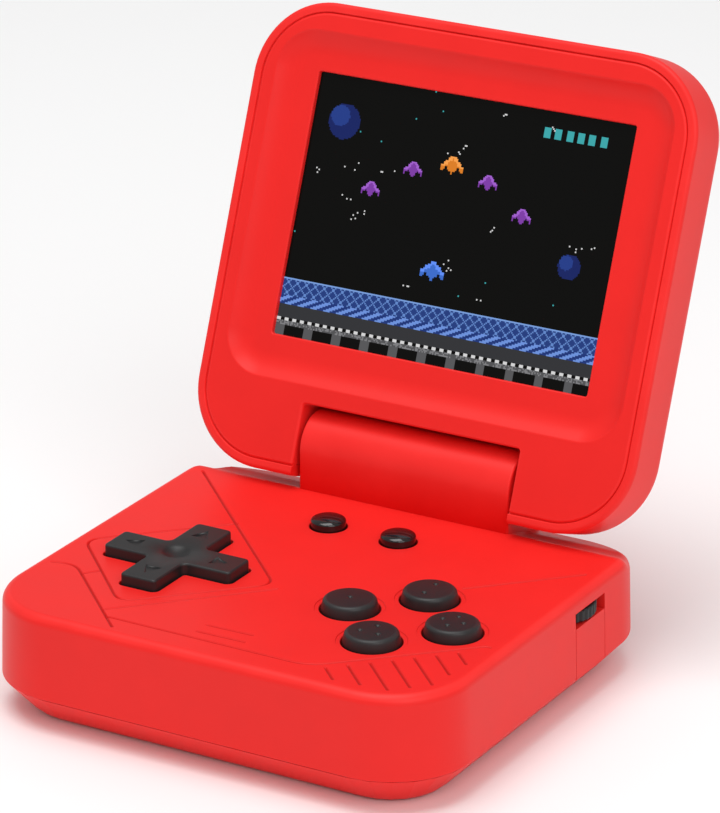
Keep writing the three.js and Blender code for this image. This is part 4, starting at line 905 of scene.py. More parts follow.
@dataclass
class BaseCase(Assembly):
    """The upper half of the base: deck with its engraved lines, walls and the hinge knuckle."""

    half: tuple[float, float] = (LAYOUT.half_width, 40.0)
    corner: float = LAYOUT.corner
    deck: float = LAYOUT.deck
    edge: float = 1.8
    edge_wear: float = 0.8
    edge_rows: tuple[int, int] = (4, 7)
    draft: float = 0.43 / 14.5
    foot: float = 6.0
    foot_round: float = 0.3
    foot_width: float = 1.6
    wall: float = 1.8
    ridge: float = 27.9
    slope: float = math.tan(math.radians(16))
    ridge_blend: float = 0.6
    slope_rows: tuple[float, float, float] = (28.9, 37.5, 0.6)
    hinge: tuple[float, float] = LAYOUT.hinge
    swing: float = 8.35
    swing_start: float = 20.7
    swing_side: float = 0.2
    knuckle: float = 5.9
    knuckle_half: float = 20.3
    knuckle_edge: float = 0.4
    knuckle_feet: tuple[float, float] = (16.5, 19.5)
    hole_edge: float = 0.22
    wall_hole_edge: float = 0.15
    pad: tuple[float, float] = LAYOUT.pad
    pad_gap: float = 0.4
    buttons: tuple[tuple[float, float], ...] = tuple((x, y) for _, x, y in LAYOUT.buttons)
    button_hole: float = 5.05
    domes: tuple[tuple[float, float], ...] = tuple((x, y) for _, x, y in LAYOUT.domes)
    dome_hole: float = 3.25
    ring_width: float = 0.65
    ring_depth: float = 0.2
    ring_slope: float = 0.15
    groove: float = 0.34
    groove_depth: float = 0.5
    margin: float = 2.3
    wheel_slot: tuple[float, float, float] = (15.0, 5.174, 17.6)
    lines: tuple[tuple[tuple[float, float], ...], ...] = (
        ((-39.8, 27.2), (-2.9, -9.7), (-21.3, -28.2), (-39.9, -9.5), (-21.4, 9.1)),
        ((-21.5, -32), (-1.5, -11)),
        ((-41, -20.5), (-35.6, -18.8), (-14, -39.8)),
        ((-32.5, -21.6), (-30.7, -19.4)),
        ((-19.8, -34.2), (18, -34.4), (39.4, -13.5), (41.6, -15.6)),
        ((-3.9, -29), (4.6, -28.8)),
        ((-3.9, -31.9), (4.8, -31.7)),
        ((16.1, -37), (17.2, -39.7)),
        ((24.8, 4.2), (41.5, 21.4)),
    )
    stripe_lengths: tuple[float, ...] = (5.3, 8, 9.6, 9.7, 9.4, 8, 5.3)
    stripe_start: tuple[float, float] = (20.9, -33.7)
    stripe_pitch: float = 2.56
    engraved: list[Array] = field(default_factory=list, init=False)
    loop: Loop = field(init=False)

    def __post_init__(self) -> None:
        """Draws the outline at the top of the walls."""
        self.loop = Loop.rounded(self.half, self.corner, steps=24).split(2.0)

    def paths(self) -> list[Array]:
        """Every engraved line as a path that stays clear of the edge.

        Returns:
            The paths; what lies nearer to the outline than the margin is cut off.
        """
        x, y = self.stripe_start
        rows = list(self.lines) + [
            ((x + i * self.stripe_pitch, y + i * self.stripe_pitch),
             (x + i * self.stripe_pitch + n, y + i * self.stripe_pitch - n))
            for i, n in enumerate(self.stripe_lengths)]
        kept = []
        for row in rows:
            path = bent(row)
            clear = rounded_box_distance(path, self.half, self.corner, (0, 0)) < -self.margin - self.groove
            if clear.sum() > 1:
                kept.append(path[clear])
        return kept

    def holes(self) -> list[Loop]:
        """Outlines of the holes for the keys.

        Returns:
            The pad's hole, the round keys' and the domed keys'.
        """
        cross = moved(cross_outline(*LAYOUT.pad_cross), self.pad)
        pad = Loop(cross.ring(-self.pad_gap), cross.normals)
        return ([pad] + [Loop.circle(self.button_hole, c, 64) for c in self.buttons]
                + [Loop.circle(self.dome_hole, c) for c in self.domes])

    def plain_top(self, x: Array, y: Array) -> Array:
        """Height of the deck without its engraving.

        Args:
            x: Place across.
            y: Place along.

        Returns:
            Level up to the ridge, then the rear slope, joined by a quadratic blend; beside the
            knuckle the slope is hollowed by a cylinder round the hinge axis, which clears the lid.
        """
        s, b = y - self.ridge, self.ridge_blend
        fall = np.where(s < -b, 0, np.where(s > b, s, (s + b) ** 2 / (4 * b)))
        z = self.deck - self.slope * fall
        reach = np.clip(self.swing ** 2 - (y - self.hinge[0]) ** 2, 0, None)
        hollow = np.minimum(z, self.hinge[1] - np.sqrt(reach))
        share = np.clip((np.abs(x) - self.swing_start) / self.swing_side + 0.5, 0, 1)
        return z + (hollow - z) * share

    def cut(self, x: Array, y: Array) -> Array:
        """How deep the engraving is.

        Args:
            x: Place across.
            y: Place along.

        Returns:
            0 on the plain deck to 1 in the middle of a groove, by a cosine across it.
        """
        points = np.stack([x, y], axis=1)
        near = np.full(len(x), np.inf)
        for path in self.engraved:
            low, high = path.min(axis=0) - 1, path.max(axis=0) + 1
            close = ((points > low) & (points < high)).all(axis=1)
            near[close] = np.minimum(near[close], distance_to_path(points[close], path))
        return 0.5 + 0.5 * np.cos(math.pi * np.clip(near / self.groove, 0, 1))

    def top(self, x: Array, y: Array) -> Array:
        """Height of the deck with its grooves and the shallow ring round each button.

        Args:
            x: Place across.
            y: Place along.

        Returns:
            The heights.
        """
        points = np.stack([x, y], axis=1)
        z = self.plain_top(x, y) - self.groove_depth * self.cut(x, y)
        for centre in self.buttons:
            away = np.linalg.norm(points - centre, axis=1) - self.button_hole
            z = z - self.ring_depth * (1 - eased((away - self.ring_width) / self.ring_slope))
        return z

    def sunk(self, z: Array) -> Array:
        """Inset of the walls at a height: their draft takes them outwards as they go down."""
        return -self.draft * (self.deck - z)

    def build(self) -> None:
        """Builds the case."""
        self.engraved = self.paths()
        patches = [*self.build_deck(), self.shoulder(), *self.walls(), *self.hinge_knuckle()]
        self.add("deck_case", patches, Slot.case_plastic, "base", "base_top_shell")

    def deck_rails(self) -> list[Array]:
        """Lines that the deck's triangles follow.

        Returns:
            The middle and the sides of each groove, circles down each ring's slope, and rows
            across the ridge and the rear slope.
        """
        rails = [track(p, k * self.groove) for p in self.engraved for k in (0.5, 1.0)] + self.engraved
        for centre in self.buttons:
            rails += [Loop.circle(self.button_hole + self.ring_width + d, centre, 64).closed()
                      for d in self.ring_slope * np.linspace(0, 1, 4)]
        straight = self.half[1] - self.corner
        for y in np.concatenate([self.ridge + self.ridge_blend * np.linspace(-1, 1, 5),
                                 np.arange(*self.slope_rows)]):
            reach = self.half[0] - self.margin - max(
                0, self.corner - math.sqrt(max(self.corner ** 2 - max(0, y - straight) ** 2, 0)))
            cuts = [-reach, -self.swing_start - self.swing_side / 2, -self.swing_start + self.swing_side / 2]
            rails.append(np.array([[x, y] for x in cuts + [-x for x in reversed(cuts)]]))
        return rails

    def build_deck(self) -> list[Patch]:
        """The deck and the walls of the holes in it.

        Returns:
            The deck, then one patch for each hole.
        """
        def deck(u: Array, v: Array) -> Array:
            """The engraved deck over a flat place."""
            return np.stack([u, v, self.top(u, v)], axis=1)

        holes = self.holes()
        plate = region(deck, self.loop.ring(self.edge), [h.ring(-self.hole_edge) for h in holes],
                       self.deck_rails())
        # Painted shade: the engraving's depth, stored as negative values, darkens the colour in the grooves.
        plate.wear = -self.cut(plate.points[:, 0], plate.points[:, 1])
        return [plate] + [rim(deck, h, self.wall, self.hole_edge) for h in holes]

    def shoulder(self) -> Patch:
        """The rounded edge between the walls and the deck.

        Returns:
            The patch; its profile hangs from the deck's own height at each place.
        """
        profile = np.concatenate([[[0, self.edge + STEER]], upper_edge(self.edge, 0, 9) * [1, -1],
                                  [[self.edge + STEER, 0]]])

        def shape(u: Array, v: Array) -> Array:
            """The profile's inset and drop at v, under the deck's height at u."""
            inset, drop = profile_at(profile, v)
            flat = self.loop.at(u, inset)
            z = self.plain_top(flat[:, 0], flat[:, 1]) - drop
            return upright(self.loop.at(u, inset + self.sunk(z) * np.minimum(drop / self.edge, 1)), z)

        rows = np.arange(1.0, len(profile) - 1)
        first, last = self.edge_rows
        return grid(shape, np.arange(len(self.loop.points) + 1.0), rows, False,
                    np.where((rows >= first) & (rows <= last), self.edge_wear, 0.0))

    def walls(self) -> list[Patch]:
        """The walls with their holes, their rounded foot and the slot for the wheel.

        Returns:
            The walls, the holes' walls, the foot and the slot's sides.
        """
        loop, lengths = self.loop, self.loop.lengths()
        count, around = len(loop.points), lengths[-1]

        def index(length: Array) -> Array:
            """The outline's fractional index at a length."""
            return np.interp(length, lengths, np.arange(count + 1))

        def side(length: Array, z: Array) -> Array:
            """The drafted wall at a length and a height."""
            return upright(loop.at(index(length), self.sunk(z)), z)

        y, reach, top = self.wheel_slot
        low, high = (loop.length_at((self.half[0], y + k * reach)) for k in (-1, 1))
        closed = loop.closed()
        upper = np.stack([lengths, self.plain_top(closed[:, 0], closed[:, 1]) - self.edge], axis=1)
        bottom = self.foot + self.foot_round
        before, after = lengths[lengths < low - SPARE], lengths[lengths > high + SPARE]
        slot = np.array([[low, bottom], [low, top], [high, top], [high, bottom]])
        outline = np.concatenate([
            self._row(before, bottom), slot, self._row(after, bottom), upper[::-1]])
        openings = self.openings(loop)
        patches = [region(side, outline, [h.ring(-self.wall_hole_edge) for h in openings])]
        patches += [rim(side, h, self.wall, self.wall_hole_edge) for h in openings]

        under = np.concatenate([[[STEER, self.foot], [self.foot_width, self.foot]],
                                lower_edge(self.foot_round, self.foot, 9), [[0, bottom + STEER]]])
        spans = np.concatenate([[high], after, before[1:] + around, [low + around]])
        turns = np.where(spans > around, count + index(spans - around), index(spans))
        patches.append(self._drafted(loop, under, turns))

        corner = np.array([[low, self.foot], [low, top], [high, top], [high, self.foot]])
        outer = side(corner[:, 0], corner[:, 1])
        return patches + [ribbon(outer, outer - [self.wall, 0, 0])]

    def openings(self, loop: Loop) -> list[Loop]:
        """Outlines of the holes in the walls.

        Args:
            loop: The outline at the top of the walls.

        Returns:
            The switch's, the round socket's and the rear port's, in length along the wall and height.
        """
        left, rear = -self.half[0], self.half[1]
        return [
            Loop.rounded((4.25, 1.25), 0.5, (loop.length_at((left, 5.2)), 16.45), 4),
            Loop.circle(2.3, (loop.length_at((left, 19.8)), 16.15), 32),
            Loop.rounded((4.1, 1.6), 0.5, (loop.length_at((27, rear)), 11.65), 4),
        ]

    def hinge_knuckle(self) -> list[Patch]:
        """The barrel on the deck: upright front and back under a half round, with rounded ends.

        Returns:
            The barrel and its two end faces.
        """
        y, z, r = self.hinge[0], self.hinge[1], self.knuckle
        arc = np.radians(np.linspace(0, 180, 33))
        rays = np.stack([np.cos(arc), np.sin(arc)], axis=1)
        rear, front = self.knuckle_feet
        points = np.concatenate([[[y + r, rear]], [y, z] + r * rays, [[y - r, front]]])
        section = Loop(points, np.concatenate([[[1, 0]], rays, [[-1, 0]]]))
        e, n = self.knuckle_edge, self.knuckle_half
        start = lower_edge(e, -n)
        profile = np.concatenate([[[STEER, -n]], start, (start * [1, -1])[::-1], [[STEER, n]]])

        def along(flat: Array, x: Array) -> Array:
            """Points of the section, moved along the barrel."""
            return np.column_stack([x, flat])

        span = np.arange(len(points), dtype=float)
        caps = [region(lambda u, v, x=s * n: np.stack([np.full_like(u, x), u, v], axis=1),
                       section.ring(e), flip=s < 0) for s in (-1, 1)]
        return [sweep(section, profile, along, span=span, wear=0.7), *caps]

    def _drafted(self, loop: Loop, profile: Array, span: Array) -> Patch:
        """A profile round the case that follows the walls' draft.

        Args:
            loop: The outline at the top of the walls.
            profile: Rows of inset and height.
            span: Indices of the outline to use.

        Returns:
            The patch.
        """
        def shape(u: Array, v: Array) -> Array:
            """The profile's inset and height at v, on the drafted wall at u."""
            inset, z = profile_at(profile, v)
            return upright(loop.at(u, inset + self.sunk(z)), z)

        return grid(shape, span, np.arange(1.0, len(profile) - 1))

    @staticmethod
    def _row(lengths: Array, height: float) -> Array:
        """Points at these lengths, all at one height."""
        return np.stack([lengths, np.full_like(lengths, height)], axis=1)


@dataclass
class Lid(Assembly):
    """The lid: front bezel round the window, rear shell, and the window with its picture."""

    hinge: tuple[float, float] = LAYOUT.hinge
    lean: float = math.radians(21.21)
    half_width: float = LAYOUT.half_width
    foot: float = -6.27
    head: float = 74.8
    corner: float = LAYOUT.corner
    face: float = 5.93
    back: float = -6.07
    back_round: float = 3.5
    rim: float = 1.66
    rim_round: float = 0.8
    rim_lip: float = 0.15
    rim_depth: float = 0.5
    bezel_inset: float = 1.85
    bezel_edge: float = 0.45
    parting: float = 0.02
    bezel_gap: float = 0.3
    notch: tuple[float, float] = (21.0, 6.4)
    notch_foot: float = 0.4
    notch_top: float = 0.6
    lip: tuple[float, float] = (4.8, 1.6)
    recess: tuple[float, float, float, float] = (38.4, 9.33, 70.0, 7.5)
    recess_slope: float = 4.4
    crest: float = 0.1
    recess_depth: float = 1.7
    window: tuple[float, float] = (30.5, 22.9)
    window_middle: float = 39.97
    window_edge: float = 0.3
    window_wall: float = 1.0
    window_corner: float = 0.4
    lens_top: float = 3.28
    lens_overlap: float = 2.4
    lens_thick: float = 1.05
    lens_corner: float = 1.0
    lens_edge: float = 0.1
    screws: tuple[tuple[float, float], ...] = ((36.9, 9), (36.9, 60), (-36.9, 9), (-36.9, 60))
    screw_hole: float = 1.75
    screw_edge: float = 0.15
    screw_depth: float = 1.5

    def place(self, flat: Array, n: Array) -> Array:
        """Puts points of the lid into space.

        Args:
            flat: Places across the lid and up it from the hinge.
            n: Distances out of its face.

        Returns:
            The points, turned back by the lean about the hinge.
        """
        v, s, c = flat[:, 1], math.sin(self.lean), math.cos(self.lean)
        return np.stack([flat[:, 0], self.hinge[0] + v * s - n * c, self.hinge[1] + v * c + n * s], axis=1)

    def level(self, height: float) -> Shape:
        """A flat surface at a height out of the lid's middle."""
        return lambda u, v: self.place(np.stack([u, v], axis=1), np.full_like(u, height))

    def outline(self, inset: float, foot: float, head: float) -> Loop:
        """The face's outline with the notch for the knuckle.

        Args:
            inset: How far inside the lid's sides it runs.
            foot: Its lowest place.
            head: Its highest place.

        Returns:
            The outline, its long sides divided.
        """
        r, x = self.corner - inset, self.half_width - self.corner
        n, t = self.notch
        a, b = self.notch_foot, self.notch_top
        return Loop.from_arcs([
            (x, foot + r, r, -90, 0), (x, head - r, r, 0, 90), (-x, head - r, r, 90, 180),
            (-x, foot + r, r, 180, 270), (-n - a, foot + a, a, 270, 360),
            (-n + b, t - b, b, 180, 90), (n - b, t - b, b, 90, 0),
            (n + a, foot + a, a, 180, 270)], 16).split(2.5)

    def build(self) -> None:
        """Builds the lid."""
        self.build_bezel()
        self.build_back()
        self.build_window()

    def build_bezel(self) -> None:
        """Builds the front: a quadratic slope under a rounded crest leads down to the window's field."""
        loop = self.outline(self.bezel_inset, self.foot + self.bezel_inset, self.head - self.bezel_inset)
        half, low, high, corner = self.recess
        box, middle = (half, (high - low) / 2), (0.0, (high + low) / 2)

        def front(u: Array, v: Array) -> Array:
            """The bezel's face: level, over the crest, down the slope and level again."""
            points = np.stack([u, v], axis=1)
            t = np.clip(-rounded_box_distance(points, box, corner, middle) / self.recess_slope, 0, 1)
            t = np.where(t < self.crest, t * t / (2 * self.crest), t - self.crest / 2)
            fall = 1 - (1 - t / (1 - self.crest / 2)) ** 2
            return self.place(points, self.face - self.recess_depth * fall)

        rails = []
        for d in self.recess_slope * np.concatenate([np.linspace(0, 0.12, 4), np.linspace(0.2, 1, 11)]):
            rails.append(Loop.rounded((box[0] - d, box[1] - d), corner - d, middle, 14).split(3.0).closed())
        hole = Loop.rounded(self.window, self.window_corner, (0, self.window_middle), 4).split(3.0)
        e = self.bezel_edge
        profile = np.concatenate([[[0, self.parting - STEER], [0, self.parting]],
                                  upper_edge(e, self.face, 7), [[e + STEER, self.face]]])
        self.add("lid_front_bezel", [
            region(front, loop.ring(e), [hole.ring(-self.window_edge)], rails),
            sweep(loop, profile, self.place, wear=0.7),
            rim(front, hole, self.window_wall, self.window_edge, 0.3),
        ], Slot.case_plastic, "lid", "lid_bezel")

    def sides(self, loop: Loop) -> Array:
        """Where the rear shell's sides run: round the lid from one side of the notch to the other.

        Args:
            loop: The rear shell's outline, which starts at its right foot corner.

        Returns:
            Fractional indices of the outline; what comes before its start is negative.
        """
        lengths, count = loop.lengths(), len(loop.points)
        first, last = (loop.length_at((s * self.notch[0], self.foot)) for s in (1, -1))
        total = lengths[-1]
        extra = lengths[(lengths > first + SPARE) & (lengths < total - SPARE)] - total
        marks = np.unique(np.concatenate([[first - total], extra, lengths[lengths < last - SPARE], [last]]))
        index = np.arange(count + 1)
        return np.where(marks < 0, np.interp(marks + total, lengths, index) - count,
                        np.interp(marks, lengths, index))

    def screw_wells(self) -> list[Patch]:
        """The walls of the screw holes in the back, each with a rounded edge.

        Returns:
            One patch for each hole.
        """
        floor = self.back + self.screw_depth
        rows = np.concatenate([[[-STEER, self.back]], lower_edge(self.screw_edge, self.back, 5) * [-1, 1],
                               [[0, floor], [0, floor + STEER]]])
        return [sweep(Loop.circle(self.screw_hole, c, 32), rows, self.place, flip=True)
                for c in self.screws]

    def notch_walls(self, cut: Array) -> list[Patch]:
        """The walls of the notch in the rear shell, and the lip that reaches down behind the knuckle.

        Args:
            cut: The shell's profile, rows of inset and height.

        Returns:
            The wall at each side, then the lip's top, front and underside.
        """
        n, t = self.notch
        low, inner = self.lip[0], self.back + self.lip[1]
        path = np.array([[t, 0], [t, inner], [low, inner], [low, self.back]])
        section = np.concatenate([np.stack([self.foot + cut[:, 0], cut[:, 1]], axis=1),
                                  [[self.foot + self.rim, 0]], path])
        ends = [self.place(np.stack([np.full(len(path), x), path[:, 0]], axis=1), path[:, 1])
                for x in (n, -n)]
        cheeks = [region(lambda v, w, x=s * n: self.place(np.stack([np.full_like(v, x), v], axis=1), w),
                         section, flip=s > 0) for s in (-1, 1)]
        return [*cheeks, ribbon(*ends)]

    def build_back(self) -> None:
        """Builds the rear shell: back, rounded edges, rim round the bezel and the notch's walls."""
        n, low = self.notch[0], self.lip[0]
        loop = Loop.rounded((self.half_width, (self.head - self.foot) / 2), self.corner,
                            (0, (self.head + self.foot) / 2), 20).split(2.5)
        span = self.sides(loop)
        sill = self.face - self.rim_depth
        profile = np.concatenate([
            [[self.back_round + STEER, self.back]],
            lower_edge(self.back_round, self.back, 10),
            upper_edge(self.rim_round, self.face),
            lower_edge(-self.rim_lip, self.face) + [self.rim, 0],
            [[self.rim, sill], [self.bezel_inset + self.bezel_gap, sill], [self.bezel_inset + STEER, sill]]])
        outer = np.concatenate([loop.at(span, self.back_round), [[-n, low], [n, low]]])
        holes = [Loop.circle(self.screw_hole, c, 32).ring(-self.screw_edge) for c in self.screws]
        self.add("lid_back_case", [
            region(self.level(self.back), outer, holes, flip=True),
            sweep(loop, profile, self.place, span=span, wear=0.7),
            *self.screw_wells(),
            *self.notch_walls(profile[1:-1]),
        ], Slot.case_plastic, "lid", "lid_rear_shell")

    def build_window(self) -> None:
        """Builds the window: a flat smoked plate whose middle shows the picture, in square cells."""
        picture = Picture()
        colours = picture.paint()
        rows, columns = colours.shape[:2]
        x, y = self.window
        us = np.linspace(-x, x, columns + 1)
        vs = self.window_middle + np.linspace(-y, y, rows + 1)

        top = self.level(self.lens_top)
        cells = colours[::-1].transpose(1, 0, 2).reshape(-1, 3)
        o, e = self.lens_overlap, self.lens_edge
        loop = Loop.rounded((x + o, y + o), self.lens_corner, (0, self.window_middle), 5)
        inner = np.concatenate([
            np.stack([us, np.full_like(us, vs[0])], axis=1),
            np.stack([np.full_like(vs, us[-1]), vs], axis=1)[1:],
            np.stack([us, np.full_like(us, vs[-1])], axis=1)[::-1][1:],
            np.stack([np.full_like(vs, us[0]), vs], axis=1)[::-1][1:-1]])
        low = self.lens_top - self.lens_thick
        profile = np.array([[STEER, low], [e, low], [0, low + e], [0, self.lens_top - e],
                            [e, self.lens_top], [STEER, self.lens_top]])
        self.add("window_lens", [
            grid(top, us, vs),
            region(top, loop.ring(e), [inner]),
            sweep(loop, profile, self.place),
            region(self.level(low), loop.ring(e), flip=True),
        ], Slot.screen_lens, "lid", "screen_lens", paint=np.concatenate([cells, cells]))


@dataclass
class Picture:
    """The window's picture: a plain night sky with small darts over a banded ground, in square cells."""

    columns: int = 240
    rows: int = 180
    seed: int = 7
    groups: int = 26
    night: tuple[float, float, float] = (0.0025, 0.0025, 0.002)
    white: tuple[float, float, float] = (0.7, 0.7, 0.7)
    teal: tuple[float, float, float] = (0.05, 0.4, 0.42)
    plain_star: float = 0.7
    cluster: float = 0.013
    sky: float = 0.74
    disc_tones: tuple[tuple[float, float, float], ...] = ((0.01, 0.02, 0.13), (0.02, 0.05, 0.26))
    disc_light: tuple[float, float] = (0.3, 0.6)
    bars: tuple[float, float, int, float, float, float] = (0.72, 0.035, 6, 0.6, 0.08, 0.018)
    horizon: tuple[float, float] = (0.784, 0.003)
    lattice: tuple[float, float] = (0.785, 0.85)
    slant: tuple[float, float] = (0.85, 0.882)
    road: tuple[float, float] = (0.882, 0.936)
    dashes: tuple[float, float, int] = (0.94, 0.005, 40)
    kerb: tuple[float, float] = (0.946, 0.962)
    posts: tuple[float, float] = (0.092, 0.3)
    blues: tuple[tuple[float, float, float], ...] = (
        (0.02, 0.05, 0.22), (0.13, 0.26, 0.62), (0.015, 0.04, 0.2), (0.16, 0.3, 0.75), (0.2, 0.36, 0.75))
    greys: tuple[tuple[float, float, float], ...] = (
        (0.035, 0.036, 0.04), (0.09, 0.09, 0.095), (0.22, 0.22, 0.23), (0.1, 0.1, 0.105))
    dart: tuple[str, ...] = ("220000", "122000", "112200", "111220", "111122", "111011", "110001", "100000")
    darts: tuple[tuple[float, float, float, tuple[float, float, float]], ...] = (
        (0.22, 0.40, 0.060, (0.22, 0.05, 0.40)), (0.34, 0.30, 0.060, (0.22, 0.05, 0.40)),
        (0.46, 0.26, 0.070, (0.75, 0.22, 0.02)), (0.58, 0.30, 0.060, (0.22, 0.05, 0.40)),
        (0.70, 0.40, 0.060, (0.22, 0.05, 0.40)), (0.46, 0.66, 0.075, (0.05, 0.16, 0.62)),
    )
    discs: tuple[tuple[float, float, float], ...] = ((0.10, 0.17, 0.05), (0.87, 0.55, 0.035))

    def sprite(self, image: Array, x: float, y: float, width: float, colour: Sequence[float]) -> None:
        """Paints one dart from its pattern, a mirror image about its middle.

        Args:
            image: The picture.
            x: Its middle, across.
            y: Its middle, down.
            width: Its width.
            colour: Its colour; a second tone is brighter.
        """
        half = np.array([[int(c) for c in row] for row in self.dart])
        shape = np.concatenate([half[:, ::-1], half[:, 1:]], axis=1)
        across = max(5, round(width * self.columns))
        down = max(4, round(across * shape.shape[0] / shape.shape[1]))
        rows = (np.arange(down) + 0.5) * shape.shape[0] // down
        columns = (np.arange(across) + 0.5) * shape.shape[1] // across
        stamp = shape[np.ix_(rows.astype(int), columns.astype(int))]
        top, left = round(y * self.rows - down / 2), round(x * self.columns - across / 2)
        part = image[top:top + down, left:left + across]
        part[stamp == 1] = colour
        part[stamp == 2] = np.minimum(np.asarray(colour) * 1.5 + 0.05, 1)

    def paint(self) -> Array:
        """Paints the picture.

        Returns:
            Linear colours, row by row from the top.
        """
        rng = np.random.default_rng(self.seed)
        v, u = np.meshgrid((np.arange(self.rows) + 0.5) / self.rows,
                           (np.arange(self.columns) + 0.5) / self.columns, indexing="ij")
        image = np.empty((self.rows, self.columns, 3))
        image[:] = self.night

        stars = rng.random((self.groups, 3)).repeat(3, axis=0)
        clustered = stars[:, 2:] < self.plain_star
        stars[:, :2] += rng.normal(0, self.cluster, (len(stars), 2)) * clustered
        stars[:, :2] = np.clip(stars[:, :2], 0, 0.99)
        x = (stars[:, 0] * self.columns).astype(int)
        y = (stars[:, 1] * self.sky * self.rows).astype(int)
        image[y, x] = np.where(clustered, self.white, self.teal)
        tall = self.rows / self.columns
        shift, share = self.disc_light
        for x, y, r in self.discs:
            away = np.hypot(u - x, (v - y) * tall)
            image[away < r] = self.disc_tones[0]
            lit = np.hypot(u - x + shift * r, (v - y) * tall + shift * r)
            image[(away < r) & (lit < share * r)] = self.disc_tones[1]
        for x, y, w, colour in self.darts:
            self.sprite(image, x, y, w, colour)
        self.gauge(image, u, v)
        self.ground(image, u, v, rng.random(u.shape))
        return image

    def gauge(self, image: Array, u: Array, v: Array) -> None:
        """Paints a row of small plain bars at the top.

        Args:
            image: The picture.
            u: Place of each cell across.
            v: Place of each cell down.
        """
        start, pitch, count, share, middle, half = self.bars
        step = (u - start) / pitch
        image[(step > 0) & (step < count) & (step % 1 < share) & (abs(v - middle) < half)] = self.teal

    def ground(self, image: Array, u: Array, v: Array, grit: Array) -> None:
        """Paints the ground: a lattice, slanted stripes, a road with a dotted line, and posts.

        Args:
            image: The picture.
            u: Place of each cell across.
            v: Place of each cell down.
            grit: Noise, 0 to 1.
        """
        i, j = np.floor(u * self.columns), np.floor(v * self.rows)
        lattice, slant, road, kerb = (
            (v > low) & (v < high) for low, high in (self.lattice, self.slant, self.road, self.kerb))
        image[lattice] = self.blues[0]
        image[lattice & (((i + j) % 7 < 1) | ((i - j) % 7 < 1))] = self.blues[1]
        image[slant] = self.blues[2]
        image[slant & ((i + 2 * j) % 10 < 5)] = self.blues[3]
        image[abs(v - self.horizon[0]) < self.horizon[1]] = self.blues[4]
        image[road] = self.greys[0]
        middle, half, count = self.dashes
        image[(abs(v - middle) < half) & ((u * count) % 1 < 0.5)] = self.white
        image[kerb] = self.greys[1]
        image[kerb & (grit < 0.4)] = self.greys[2]
        pitch, share = self.posts
        image[(v > self.kerb[1]) & ((u / pitch) % 1 < share)] = self.greys[3]


